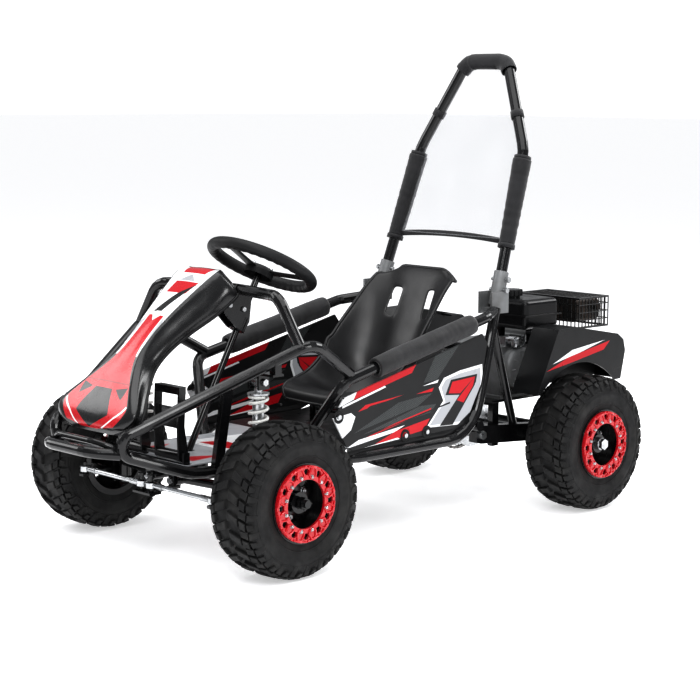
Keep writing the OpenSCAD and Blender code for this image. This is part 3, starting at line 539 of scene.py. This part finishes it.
def studio():
    bm = bmesh.new()
    size = 60000
    grid(bm, [[(x, y, 0) for x in (-size, size)] for y in (-size, size)])
    floor_shader = Shader("studio_floor", (0.86, 0.86, 0.87), 0.6)
    floor_shader.rough(3, 0.55, 0.65)
    floor_shader.surface.inputs["Emission Color"].default_value = (1, 1, 1, 1)
    floor_shader.surface.inputs["Emission Strength"].default_value = 0.5
    mesh_object("studio_floor", bm, floor_shader.mat, smooth=False)
    world = bpy.data.worlds.new("studio")
    bpy.context.scene.world = world
    world.use_nodes = True
    tree = world.node_tree
    sky = tree.nodes["Background"]
    sky.inputs["Color"].default_value = (0.97, 0.98, 1, 1)
    sky.inputs["Strength"].default_value = 0.42
    backdrop = tree.nodes.new("ShaderNodeBackground")
    backdrop.inputs["Color"].default_value = (1, 1, 1, 1)
    backdrop.inputs["Strength"].default_value = 1.0
    choice = tree.nodes.new("ShaderNodeMixShader")
    rays = tree.nodes.new("ShaderNodeLightPath")
    tree.links.new(rays.outputs["Is Camera Ray"], choice.inputs["Fac"])
    tree.links.new(sky.outputs[0], choice.inputs[1])
    tree.links.new(backdrop.outputs[0], choice.inputs[2])
    tree.links.new(choice.outputs[0], tree.nodes["World Output"].inputs["Surface"])
    for name, spot, size, power in (
        ("top", (0.3, -0.4, 4.2), 5.0, 190),
        ("key", (2.4, -2.4, 2.6), 1.4, 52),
        ("fill", (-2.6, -1.6, 2.0), 1.6, 26),
        ("rim", (1.0, 3.0, 2.4), 1.6, 40),
        ("strip", (3.4, 0.8, 1.3), 0.8, 16),
    ):
        data = bpy.data.lights.new(name, "AREA")
        data.size = size
        data.energy = power
        obj = bpy.data.objects.new(name, data)
        obj.location = spot
        obj.rotation_euler = (Vector((0, 0, 0.4)) - Vector(spot)).to_track_quat("-Z", "Y").to_euler()
        bpy.context.scene.collection.objects.link(obj)
    bpy.context.scene.view_settings.view_transform = "Standard"
    bpy.context.scene.view_settings.gamma = 0.72
    bpy.context.scene.view_settings.exposure = 0.18


# ---------------------------------------------------------------- wheels

TYRE_R = 165
TYRE_HALF = 63
# The tyre's section without its tread, from the bead to the crown, as (radius, half width)
CARCASS = [
    (76.5, 56), (86, 56.5), (104, 61), (122, 62.4), (138, 60.5), (148, 55), (153.5, 46), (156.5, 30),
    (157.5, 0),
]
# One pitch of the tread: each block's height, and its corners as (share of a pitch, s)
TREAD = [
    (7.5, [(0, 0.015), (0.42, 0.015), (0.66, 0.15), (0.28, 0.15)]),
    (8, [(0.34, 0.18), (0.74, 0.18), (0.92, 0.275), (0.50, 0.285)]),
    (7.5, [(-0.16, 0.19), (0.2, 0.17), (0.36, 0.30), (-0.06, 0.32)]),
    (5.5, [(0.04, 0.33), (0.46, 0.31), (0.42, 0.52), (0.14, 0.56)]),
    (6, [(0.56, 0.30), (0.92, 0.32), (0.86, 0.43), (0.62, 0.44)]),
]


def carcass_at(s):
    """Radius, sideways place and outward direction at s, from -1 at one bead to 1 at the other."""
    place_on = (1 - abs(s)) * (len(CARCASS) - 1)
    i = min(int(place_on), len(CARCASS) - 2)
    t = place_on - i
    (r1, w1), (r2, w2) = CARCASS[i], CARCASS[i + 1]
    r, w = r1 + (r2 - r1) * t, w1 + (w2 - w1) * t
    outward = Vector((w1 - w2, r2 - r1)).normalized()
    sign = 1 if s >= 0 else -1
    return r, w * sign, Vector((outward.x, outward.y * sign))


def on_tyre(angle, s, height):
    r, w, outward = carcass_at(s)
    r += outward.x * height
    w += outward.y * height
    r = min(r, TYRE_R - 0.3)
    w = max(-TYRE_HALF, min(TYRE_HALF, w))
    return Vector((w, r * math.cos(angle), r * math.sin(angle)))


def tread_block(bm, corners, height):
    """One tread block over corners of (angle, s), with sloping sides and a bevelled top."""
    middle = (sum(c[0] for c in corners) / len(corners), sum(c[1] for c in corners) / len(corners))
    rows = []
    for share, shrink in ((-0.15, 1.12), (0.8, 1.0), (1.0, 0.86)):
        row = []
        for angle, s in corners:
            row.append(on_tyre(
                middle[0] + (angle - middle[0]) * shrink, middle[1] + (s - middle[1]) * shrink, height * share
            ))
        rows.append(row)
    made = grid(bm, rows, closed=True)
    bm.faces.new(made[-1])


def tyre_mesh():
    """A knobbly tyre about the X axis: carcass, chevron blocks, shoulder lugs and sidewall ribs."""
    bm = bmesh.new()
    shares = [k / 32 * 2 - 1 for k in range(33)]
    steps = 120
    rows = [[on_tyre(math.tau * k / steps, s, 0) for k in range(steps)] for s in shares]
    grid(bm, rows, closed=True)
    inner = [[Vector((w, r * math.cos(a), r * math.sin(a))) for a in
              (math.tau * k / steps for k in range(steps))]
             for w, r in ((-56, 76.5), (-46, 78), (0, 80), (46, 78), (56, 76.5))]
    grid(bm, inner, closed=True)
    pitches = 24
    for i in range(pitches):
        start = math.tau * i / pitches
        step = math.tau / pitches
        for side in (1, -1):
            shift = start + (0 if side > 0 else step / 2)
            for height, corners in TREAD:
                tread_block(bm, [(shift + step * turn, s * side) for turn, s in corners], height)
    for side in (1, -1):
        for r, rise in ((84, 1.6), (100, 1.2), (131, 1.0)):
            s = next(x / 400 for x in range(400, 0, -1) if carcass_at(x / 400)[0] >= r)
            ring = [[on_tyre(math.tau * k / steps, (s + d) * side, h) for k in range(steps)]
                    for d, h in ((-0.012, -0.5), (-0.006, rise), (0.006, rise), (0.012, -0.5))]
            grid(bm, ring, closed=True)
    bmesh.ops.recalc_face_normals(bm, faces=bm.faces)
    for v in bm.verts:
        v.co *= MM
    mesh = bpy.data.meshes.new("knobbly_tyre")
    bm.to_mesh(mesh)
    bm.free()
    return mesh


def wheel_hardware(name, centre, side, body, steel):
    """The lock ring's twelve small bolts and the hub's five larger ones."""
    bm = bmesh.new()
    outward = Vector((side, 0, 0))
    middle = Vector(centre)
    for count, x, circle_r, size in ((12, 66.1, 57.5, 6.2), (5, 25.2, 34, 10)):
        for i in range(count):
            a = math.tau * (i + 0.5) / count
            spot = middle + Vector((side * x, circle_r * math.cos(a), circle_r * math.sin(a)))
            hex_bolt(bm, spot, outward, size)
    obj = mesh_object(name, bm, steel)
    modify(obj, "EDGE_SPLIT", split_angle=math.radians(35))
    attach(obj, body)


def ring_ribs(name, centre, side, body, paint):
    """Raised ribs and edge blocks cast on a wheel's lock ring."""
    bm = bmesh.new()
    middle = Vector(centre)

    def spot(r, a, x):
        return middle + Vector((side * x, r * math.cos(a), r * math.sin(a)))

    sector = math.tau / 12
    # Each rib runs from one (radius, angle) to another
    ribs = (
        (54, -0.22, 62, -0.10), (54, 0.22, 62, 0.10), (62, -0.10, 78, -0.20), (62, 0.10, 78, 0.20),
        (78, -0.20, 79, -0.05), (78, 0.20, 79, 0.05),
    )
    block = [(75.5, -0.10), (80.6, -0.09), (80.6, 0.09), (75.5, 0.10)]
    for i in range(12):
        a = sector * i
        for r1, a1, r2, a2 in ribs:
            crest = spot((r1 + r2) / 2, a + (a1 + a2) / 2, 67.0)
            tube(bm, [spot(r1, a + a1, 66.3), crest, spot(r2, a + a2, 66.3)], 2.3, 8)
        rows = []
        for share, x in ((1.0, 65.5), (1.0, 68), (0.8, 69)):
            rows.append([spot(r, a + sector / 2 + turn * share, x) for r, turn in block])
        made = grid(bm, rows, closed=True)
        bm.faces.new(made[-1])
    obj = mesh_object(name, bm, paint)
    modify(obj, "EDGE_SPLIT", split_angle=math.radians(40))
    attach(obj, body)


def wheels(mats):
    mesh = tyre_mesh()
    mesh.materials.append(mats["tyre"])
    for end, y in (("front", FRONT_Y), ("rear", REAR_Y)):
        for word, side in SIDES.items():
            body = f"wheel_{word}" if end == "front" else "rear_axle"
            tyre = bpy.data.objects.new(f"knobbly_tyre_{end}_{word}", mesh)
            bpy.context.scene.collection.objects.link(tyre)
            tyre.location = place((WHEEL_X * side, y, AXLE_Z))
            if side < 0:
                tyre.rotation_euler = (0, 0, math.pi)
            modify(tyre, "EDGE_SPLIT", split_angle=math.radians(38))
            bpy.context.view_layer.update()
            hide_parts(f"tyre_{end}_{word}")
            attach(tyre, body)
            centre = (WHEEL_X * side, y, AXLE_Z)
            wheel_hardware(f"wheel_bolts_{end}_{word}", centre, side, body, mats["zinc"])
            ring_ribs(f"ring_ribs_{end}_{word}", centre, side, body, mats["ring"])


# ---------------------------------------------------------------- bodywork

# Sections of the nose, repeated from part.scad: y, z, half widths of its top and foot, depth, slope
NOSE_RINGS = [
    (-752, 298, 70, 76, 30, 84), (-756, 318, 104, 110, 34, 72), (-742, 352, 120, 124, 36, 58),
    (-705, 398, 84, 92, 40, 52), (-660, 447, 48, 60, 42, 47), (-617, 490, 40, 56, 46, 43),
    (-570, 533, 46, 66, 54, 40), (-515, 578, 58, 80, 64, 38), (-467, 614, 68, 86, 66, 34),
    (-440, 622, 58, 80, 58, 26),
]


def nose(mats):
    """The nose fairing: a smooth shell through the CAD's sections, its print, lip and bracket."""
    bm = bmesh.new()
    layout = bm.loops.layers.uv.new("livery")
    sections = smooth_line(NOSE_RINGS, 8)
    rows = []
    for number, (y, z, top, foot, depth, slope) in enumerate(sections):
        slant = math.radians(slope)
        half = [
            (0, -2), (top * 0.25, -1.8), (top * 0.5, -1), (top * 0.75, -0.5), (top * 0.94, 0),
            (top * 1.1, depth * 0.22), (foot * 0.99, depth * 0.6), (foot, depth)
        ]
        half = smooth_line(half, 3)
        line = [(-x, q) for x, q in reversed(half[1:])] + half
        row = []
        for x, q in line:
            vert = bm.verts.new((x, y + math.sin(slant) * q, z - math.cos(slant) * q))
            drop = max(0.0, q / depth - 0.02)
            row.append((vert, (x / top + math.copysign(drop, x) * 0.6, number / (len(sections) - 1))))
        rows.append(row)
    for low, high in zip(rows, rows[1:]):
        for k in range(len(low) - 1):
            corners = (low[k], low[k + 1], high[k + 1], high[k])
            face = bm.faces.new([c[0] for c in corners])
            for loop, (_, uv) in zip(face.loops, corners):
                loop[layout].uv = uv
    obj = mesh_object("nose_shell", bm, mats["nose"])
    modify(obj, "SOLIDIFY", thickness=0.0038, offset=-1)
    modify(obj, "BEVEL", width=0.0012, segments=2, limit_method="ANGLE", angle_limit=math.radians(50))
    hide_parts("nose_fairing")
    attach(obj, "chassis")

    bm = bmesh.new()
    for side in (1, -1):
        line = []
        for y, z, top, foot, depth, slope in sections:
            slant = math.radians(slope)
            line.append(Vector((side * foot, y + math.sin(slant) * depth, z - math.cos(slant) * depth)))
        tube(bm, line, 3.2, 10)
    bracket = [Vector((0, y, z)) for y, z in ((-380, 538), (-440, 538), (-468, 560), (-470, 606))]
    tube(bm, bracket, 9, 12)
    rim = mesh_object("nose_lip", bm, mats["moulded"])
    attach(rim, "chassis")


# Sections of the seat, repeated from part.scad: y, z, half width, depth of the bucket, lean
SEAT_RINGS = [
    (-112, 284, 100, 2, 8), (-110, 303, 110, 4, 4), (-92, 312, 116, 8, 0), (-52, 302, 124, 26, -2),
    (-2, 276, 134, 66, 0), (52, 255, 141, 118, 4), (100, 264, 144, 146, 14), (136, 304, 143, 126, 26),
    (162, 366, 140, 98, 36), (192, 440, 135, 68, 46), (222, 515, 129, 40, 58), (243, 562, 122, 18, 72),
    (255, 582, 100, 6, 80),
]
SLOT = (0.34, 0.53)  # a strap slot's edges, as shares of the back's half width
SLOT_Z = (472, 526)
BACK_HALF = 132
BACK_Y = 150  # everything behind this is the seat's back


def seat(mats):
    """The bucket seat: a smooth shell with two strap slots, a rolled edge and four posts."""
    columns = sorted({0.0, *SLOT, 0.12, 0.24, 0.43, 0.62, 0.72, 0.82, 0.91, 1.0})
    columns = [-c for c in reversed(columns[1:])] + columns
    sections = smooth_line(SEAT_RINGS, 4)
    bm = bmesh.new()
    rows, rims = [], {1: [], -1: []}
    for y, z, half, depth, lean in sections:
        angle = math.radians(lean)
        row = []
        for t in columns:
            lift = depth * abs(t) ** 2.6
            drop = 26 * max(0.0, (z - 556) / 26) * max(0.0, abs(t) - 0.6) ** 2 / 0.16
            lift -= drop * 0.4
            row.append(Vector((half * t, y - math.sin(angle) * lift, z + math.cos(angle) * lift - drop)))
        rows.append(row)
        rims[1].append(row[-1].copy())
        rims[-1].append(row[0].copy())
    grid(bm, rows)
    holes = []
    for face in bm.faces:
        middle = face.calc_center_median()
        in_width = SLOT[0] < abs(middle.x) / BACK_HALF < SLOT[1] + 0.02
        if in_width and SLOT_Z[0] < middle.z < SLOT_Z[1] and middle.y > BACK_Y:
            holes.append(face)
    bmesh.ops.delete(bm, geom=holes, context="FACES")
    obj = mesh_object("seat_shell", bm, mats["seat"])
    modify(obj, "SOLIDIFY", thickness=0.0045, offset=0)
    modify(obj, "SUBSURF", levels=1, render_levels=2)
    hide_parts("seat")
    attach(obj, "chassis")

    bm = bmesh.new()
    for side in (1, -1):
        tube(bm, [p + Vector((side * 1.0, 0, 0)) for p in rims[side]], 4.2, 10)
    tube(bm, [Vector(p) for p in rows[0]], 4.2, 10)
    tube(bm, [Vector(p) for p in rows[-1]], 4.2, 10)
    rim = mesh_object("seat_edge", bm, mats["seat"])
    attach(rim, "chassis")

    bm = bmesh.new()
    for x in (-94, 94):
        for y, top in ((-30, 296), (118, 300)):
            tube(bm, [Vector((x, y, 219)), Vector((x, y, top))], 7, 12)
            lathe(bm, [(0, 12), (3, 12), (3, 0.5)], (0, 0, 1), (x, y, 219), 20)
    legs = mesh_object("seat_posts", bm, mats["powder"])
    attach(legs, "chassis")


def side_panels(mats):
    """Cupped washers and lower skirts of the side panels, and the fenders' inner liners."""
    cup = [(0, 14.5), (1.8, 14), (2.4, 12), (1.0, 8.8), (1.0, 8.0)]
    edge = [(-246, 228), (-180, 226), (-60, 230), (60, 236), (96, 238), (128, 256), (150, 272)]
    for word, side in SIDES.items():
        bm = bmesh.new()
        for y, z in ((-274, 304), (-66, 238), (4, 238)):
            lathe(bm, cup, (side, 0, 0), (252.6 * side, y, z), 28)
        cups = mesh_object(f"panel_cups_{word}", bm, mats["moulded"])
        bm = bmesh.new()
        skirt_x = 251.5 * side
        lower = [(skirt_x, y, 214 + max(0, y - 60) * 0.32) for y, _ in edge]
        upper = [(skirt_x, y, z) for y, z in edge]
        grid(bm, [lower, upper])
        skirt = mesh_object(f"panel_skirt_{word}", bm, mats["moulded"])
        modify(skirt, "SOLIDIFY", thickness=0.002, offset=0)
        bm = bmesh.new()
        outline = [(340, 296), (408, 440), (470, 442), (635, 412), (658, 398), (664, 372), (650, 304)]
        rows = [[(x * side, y, z) for y, z in outline] for x in (223.5, 225.5)]
        made = grid(bm, rows, closed=True)
        bm.faces.new(made[0])
        bm.faces.new(made[1])
        liner = mesh_object(f"fender_liner_{word}", bm, mats["moulded"], smooth=False)
        for obj in (cups, skirt, liner):
            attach(obj, "chassis")


def side_pads(mats):
    """Foam sleeves over the top tubes, with a stitched flap and soft creases."""
    start, end = Vector((254, -258, 381)), Vector((250, 205, 485))
    ahead = (end - start).normalized()
    across = Vector((1, 0, 0))
    up = across.cross(ahead).normalized()
    flap = 4.2  # the stitched flap's place round the pad
    for word, side in SIDES.items():
        bm = bmesh.new()
        rows = []
        for i in range(91):
            share = i / 90
            middle = start + ahead * (97 + 326 * share)
            end_pull = 1 - 0.09 * (math.exp(-share * 45) + math.exp(-(1 - share) * 45))
            row = []
            for k in range(48):
                a = math.tau * k / 48
                crease = noise.noise(Vector((math.cos(a) * 1.6, math.sin(a) * 1.6, share * 9 + side * 3)))
                fold = noise.noise(Vector((a * 0.6, share * 30, 5.0)))
                r = 23.6 * end_pull + 1.0 * crease + 0.45 * fold
                r += 1.6 * math.exp(-((a - flap) / 0.35) ** 2)
                spot = middle + across * math.cos(a) * r * 0.97 + up * math.sin(a) * r
                row.append(Vector((spot.x * side, spot.y, spot.z)))
            rows.append(row)
        grid(bm, rows, closed=True)
        pad = mesh_object(f"pad_sleeve_{word}", bm, mats["pad"])
        modify(pad, "SOLIDIFY", thickness=0.0075, offset=-1)
        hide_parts(f"side_pad_{word}")
        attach(pad, "chassis")
        bm = bmesh.new()
        for offset in (5.5, 9.0):
            for i in range(62):
                share = (i + 0.2) / 62
                a = flap + offset / 24
                middle = start + ahead * (99 + 322 * share)
                spot = middle + (across * math.cos(a) * 0.97 + up * math.sin(a)) * 24.4
                tail = spot + ahead * 3.2
                for p in (spot, tail):
                    p.x *= side
                tube(bm, [spot, tail], 0.45, 6)
        stitches = mesh_object(f"pad_stitches_{word}", bm, mats["thread"])
        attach(stitches, "chassis")


# ---------------------------------------------------------------- roll bar's wind panel


def wind_net(mats):
    """The clear film, its black leg sleeves and top sleeve, straps and lower hem."""

    def leg(share, side):
        p = ROLL_FOOT.lerp(ROLL_SHOULDER, share)
        return Vector((p.x * side, p.y, p.z))

    def leg_radius(share, side):
        return 19.0 + 4.0 * share + 1.1 * noise.noise(Vector((share * 18, side, 2.0)))

    bm = bmesh.new()
    for side in (1, -1):
        path = [leg(0.37 + 0.57 * k / 50, side) for k in range(51)]
        tube(bm, path, lambda t: leg_radius(t, side), 28, cap=False)
    sleeves = mesh_object("leg_sleeves", bm, mats["nylon"])
    modify(sleeves, "SOLIDIFY", thickness=0.0016, offset=-1)

    bm = bmesh.new()
    corner = [(78, 467, 1062), (62, 473, 1079), (40, 473, 1085)]
    half = [Vector(p) for p in smooth_line(corner, 8)]
    path = [Vector((-p.x, p.y, p.z)) for p in half] + list(reversed(half))
    tube(bm, path, lambda t: 19.6 + 0.8 * noise.noise(Vector((t * 16, 0, 4.0))), 28, cap=False)
    top = mesh_object("top_sleeve", bm, mats["nylon"])
    modify(top, "SOLIDIFY", thickness=0.0016, offset=-1)

    bm = bmesh.new()
    rows = []
    outline = smooth_line([
        (180, 346, 658), (171, 384, 765), (160, 416, 860), (110, 446, 976), (48, 471, 1066)
    ], 12)
    for x, y, z in outline:
        row = []
        for k in range(41):
            t = k / 20 - 1
            wave = 1.6 * noise.noise(Vector((t * 2.2, z * 0.012, 1.0)))
            row.append(Vector((x * t, y + wave - 4 * (1 - t * t), z)))
        rows.append(row)
    grid(bm, rows)
    film = mesh_object("wind_film", bm, mats["film"])

    bm = bmesh.new()
    hem = []
    for k in range(49):
        t = k / 24 - 1
        hem.append([Vector((180 * t, 348 - 4 * (1 - t * t) + d, 652 + h + 9 * (1 - t * t))) for d, h in
                    ((-1.0, -7), (-1.0, 7), (1.0, 7), (1.0, -7))])
    grid(bm, hem, closed=True)
    lower = mesh_object("film_hem", bm, mats["nylon"])

    bm = bmesh.new()
    for side in (1, -1):
        for share in (0.36, 0.95):
            middle = leg(share, side)
            axis = (ROLL_SHOULDER - ROLL_FOOT).normalized()
            axis.x *= side
            lathe(bm, [(-5, 14.2), (-5, 21), (5, 21), (5, 14.2)], axis, middle, 28)
        upper = ROLL_SHOULDER.lerp(ROLL_CORNER, 0.4)
        middle = Vector((upper.x * side, upper.y, upper.z))
        axis = ROLL_CORNER - ROLL_SHOULDER
        axis.x *= side
        lathe(bm, [(-9, 14.2), (-9, 16.2), (9, 16.2), (9, 14.2)], axis, middle, 28)
    straps = mesh_object("film_straps", bm, mats["nylon"])
    for obj in (sleeves, top, lower, straps, film):
        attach(obj, "chassis")
    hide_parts("wind_net")


# ---------------------------------------------------------------- controls and suspension


def steering_wheel(mats):
    """Moulded rim with finger grips, three spokes, a domed cap and three bolts."""
    turn = Matrix.Translation(HUB) @ Matrix.Rotation(-LEAN, 4, "X")
    bm = bmesh.new()
    ring, lift = 118, 28
    rows = []
    steps = 144
    for i in range(steps):
        a = math.tau * i / steps
        out = Vector((math.cos(a), math.sin(a), 0))
        row = []
        for k in range(24):
            b = math.tau * k / 24
            under = max(0.0, math.cos(b - math.pi * 1.25))
            grip = 1.5 * (0.5 + 0.5 * math.cos(a * 36)) * under
            r = 13.6 - grip
            row.append(out * (ring + r * math.cos(b)) + Vector((0, 0, lift + r * math.sin(b))))
        rows.append(row)
    rows.append(rows[0])
    grid(bm, rows, closed=True)
    bmesh.ops.remove_doubles(bm, verts=bm.verts, dist=0.01)
    lathe(bm, [(0.2, 33), (12, 34), (19, 32), (22, 27), (23.5, 14), (24, 0.5)], (0, 0, 1), (0, 0, 0), 40)
    bm.transform(turn)
    rim = mesh_object("wheel_rim_grip", bm, mats["grip"])
    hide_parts("steering_wheel")

    bm = bmesh.new()
    for degrees in (30, 150, 270):
        spin = Matrix.Rotation(math.radians(degrees), 4, "Z")
        profile = []
        for share in [k / 12 for k in range(13)]:
            x = 26 + (ring - 30) * share
            z = 15 + 13 * share
            width = 15 + 5 * (2 * share - 1) ** 2
            outline = [
                (-width, -2.4), (-width * 0.9, 2.4), (0, 3.4), (width * 0.9, 2.4), (width, -2.4), (0, -3)
            ]
            profile.append([spin @ Vector((x, w, z + h)) for w, h in outline])
        made = grid(bm, profile, closed=True)
        bm.faces.new(made[0])
        bm.faces.new(made[-1])
    bm.transform(turn)
    spokes = mesh_object("wheel_spokes", bm, mats["moulded"])
    modify(spokes, "SUBSURF", levels=1, render_levels=2)

    bm = bmesh.new()
    for degrees in (30, 150, 270):
        a = math.radians(degrees)
        hex_bolt(bm, (24 * math.cos(a), 24 * math.sin(a), 22), (0, 0, 1), 7)
    bm.transform(turn)
    bolts = mesh_object("wheel_bolts", bm, mats["zinc"])
    modify(bolts, "EDGE_SPLIT", split_angle=math.radians(35))
    for obj, name in ((rim, "grip_black"), (spokes, "moulded_black"), (bolts, "zinc_steel")):
        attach(obj, "steering")


def springs(mats):
    """Painted coil springs with flattened end turns, stretched between the two seats."""
    x, y, top_eye = SHOCK
    bottom, top = top_eye - 152, top_eye - 32
    coil_r = 19.6
    turns, steps = 7, 252
    for word, side in SIDES.items():
        bm = bmesh.new()
        path = []
        for i in range(steps + 1):
            t = i / steps
            eased = min(1.0, max(0.0, (t - 0.09) / 0.82))
            a = math.tau * turns * t
            z = bottom + (top - bottom) * eased + 4 * (t - eased)
            path.append(Vector((side * (x + coil_r * math.cos(a)), y + coil_r * math.sin(a), z)))
        tube(bm, path, 3.6, 12)
        coil = mesh_object(f"coil_{word}", bm, mats["spring"])
        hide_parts(f"coil_spring_{word}")
        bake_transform(coil)


def chain(mats):
    """Roller chain: side plates and rollers laid round the two sprockets."""
    centre, small = Vector((REAR_Y, AXLE_Z)), Vector(DRIVE_SHAFT)
    link_pitch = 12.7
    big_r, small_r = 76, 21
    run = (small - centre).length
    tilt = math.asin((big_r - small_r) / run)
    heading = math.atan2(small.y - centre.y, small.x - centre.x)
    points = []
    for k in range(61):
        a = heading + math.pi / 2 - tilt + (math.pi + 2 * tilt) * k / 60
        points.append(centre + big_r * Vector((math.cos(a), math.sin(a))))
    for k in range(25):
        a = heading - math.pi / 2 + tilt + (math.pi - 2 * tilt) * k / 24
        points.append(small + small_r * Vector((math.cos(a), math.sin(a))))
    points.append(points[0])
    lengths = [0.0]
    for a, b in zip(points, points[1:]):
        lengths.append(lengths[-1] + (b - a).length)
    count = round(lengths[-1] / link_pitch / 2) * 2
    pins = []
    for i in range(count):
        target = lengths[-1] * i / count
        k = next(n for n in range(1, len(lengths)) if lengths[n] >= target)
        t = (target - lengths[k - 1]) / max(1e-6, lengths[k] - lengths[k - 1])
        pins.append(points[k - 1].lerp(points[k], t))
    bm = bmesh.new()
    for i, pin in enumerate(pins):
        after = pins[(i + 1) % count]
        lathe(bm, [(-5.6, 0.5), (-5.6, 2.0), (5.6, 2.0), (5.6, 0.5)], (1, 0, 0), (CHAIN_X, *pin), 10)
        lathe(bm, [(-2.6, 3.9), (2.6, 3.9)], (1, 0, 0), (CHAIN_X, *pin), 14)
        out = 3.2 if i % 2 else 4.4
        ahead = (after - pin).normalized()
        turned = Vector((-ahead.y, ahead.x))
        for x in (CHAIN_X - out, CHAIN_X + out):
            ring = []
            for k in range(16):
                a = math.tau * k / 16
                waist = 4.2 if abs(math.cos(a)) > 0.5 else 3.4
                end = pin if math.cos(a) < 0 else after
                spot = end + ahead * 4.2 * math.cos(a) + turned * waist * math.sin(a)
                ring.append(spot)
            rows = [[Vector((x + d, *p)) for p in ring] for d in (-0.5, 0.5)]
            made = grid(bm, rows, closed=True)
            bm.faces.new(made[0])
            bm.faces.new(made[-1])
    links = mesh_object("roller_chain", bm, mats["chain"])
    modify(links, "EDGE_SPLIT", split_angle=math.radians(40))
    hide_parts("drive_chain")
    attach(links, "chassis")


def engine_details(mats):
    """The recoil starter's domed cover with louvres, the engine's side ribs, and the cover's bolts."""
    shaft_y, shaft_z = DRIVE_SHAFT
    bm = bmesh.new()
    dome = [(0, 55), (6, 56), (11, 52), (15, 42), (17.5, 26), (18.5, 8), (18.6, 0.5)]
    lathe(bm, dome, (1, 0, 0), (141, shaft_y, shaft_z), 56)
    for i in range(10):
        a = math.tau * i / 10
        middle = Vector((152, shaft_y + 34 * math.cos(a), shaft_z + 34 * math.sin(a)))
        out = Vector((0, math.cos(a), math.sin(a)))
        round_way = Vector((0, -math.sin(a), math.cos(a)))
        path = []
        for d in range(-9, 10, 3):
            path.append(middle + out * d + Vector((4.8 - abs(d) * 0.16, 0, 0)) + round_way * d * 0.25)
        tube(bm, path, 1.7, 8)
    for i in range(7):
        z = 272 + 15 * i
        path = [Vector((129, y, z)) for y in range(402, 534, 12)]
        tube(bm, path, 2.0, 8)
    cover = mesh_object("starter_cover", bm, mats["cast"])
    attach(cover, "chassis")
    bm = bmesh.new()
    for i in range(4):
        a = math.tau * (i + 0.5) / 4
        spot = (147, shaft_y + 49 * math.cos(a), shaft_z + 49 * math.sin(a))
        hex_bolt(bm, spot, (1, 0, 0), 7)
    bolts = mesh_object("cover_bolts", bm, mats["zinc"])
    modify(bolts, "EDGE_SPLIT", split_angle=math.radians(35))
    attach(bolts, "chassis")


# ---------------------------------------------------------------- materials on the CAD nodes


def dress(mats):
    """Gives every CAD node that still shows its own material."""
    wanted = {
        "powder": ["main_rails", "top_tubes", "dash_hoop", "front_bumper", "front_subframe", "cross_members",
                   "rear_cradle", "roll_bar", "lower_arm_left", "lower_arm_right", "knuckle_left",
                   "knuckle_right", "muffler_guard", "steering_column", "rim_front_left",
                   "rim_front_right", "rear_rims",
                   "brake_pedal", "throttle_pedal", "steering_bracket", "brake_caliper"],
        "zinc": ["frame_bolts", "rear_axle", "axle_sprocket", "drive_sprocket", "brake_disc",
                 "shock_body_left", "shock_body_right", "shock_rod_left", "shock_rod_right", "carburettor",
                 "tie_rod_left", "tie_rod_right"],
        "cast": ["engine_block", "axle_bearings", "roll_bar_clamps"],
        "ring": ["ring_front_left", "ring_front_right", "rear_rings"],
        "panel": ["side_panel_left"],
        "panel_right": ["side_panel_right"],
        "fender": ["rear_fender_left", "rear_fender_right"],
        "floor": ["floor_pan"],
        "tank": ["fuel_tank", "fuel_cap"],
        "muffler": ["muffler"],
    }
    for key, names in wanted.items():
        for name in names:
            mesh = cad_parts[name].data
            mesh.materials.clear()
            mesh.materials.append(mats[key])


mats = {
    "powder": powder_coat(),
    "moulded": moulded(),
    "tank": moulded("tank_plastic", (0.008, 0.008, 0.009), 0.16),
    "seat": seat_vinyl(),
    "tyre": tyre_rubber(),
    "zinc": zinc(),
    "chain": zinc("chain_steel", (0.30, 0.29, 0.28)),
    "cast": cast_aluminium(),
    "ring": ring_paint(),
    "spring": spring_paint(),
    "pad": woven("pad_cloth", (0.014, 0.014, 0.015), 0.0012, 0.62),
    "nylon": woven("nylon_webbing", (0.016, 0.016, 0.018), 0.0016, 0.7),
    "thread": woven("thread", (0.05, 0.05, 0.053), 0.0004, 0.6),
    "grip": moulded("grip_rubber", (0.017, 0.017, 0.018), 0.5),
    "film": clear_film(),
    "muffler": muffler_steel(),
    "panel": printed_panel("panel_print", PANEL_SHAPES, WEAVE_SHAPES),
    "panel_right": printed_panel("panel_print_right", other_side(PANEL_SHAPES), WEAVE_SHAPES),
    "fender": printed_panel("fender_print", FENDER_SHAPES),
    "floor": printed_panel("floor_print", FLOOR_SHAPES, axes=("X", "Y")),
    "nose": nose_print(),
}
camera()
studio()
dress(mats)
wheels(mats)
nose(mats)
seat(mats)
side_panels(mats)
side_pads(mats)
wind_net(mats)
steering_wheel(mats)
springs(mats)
chain(mats)
engine_details(mats)
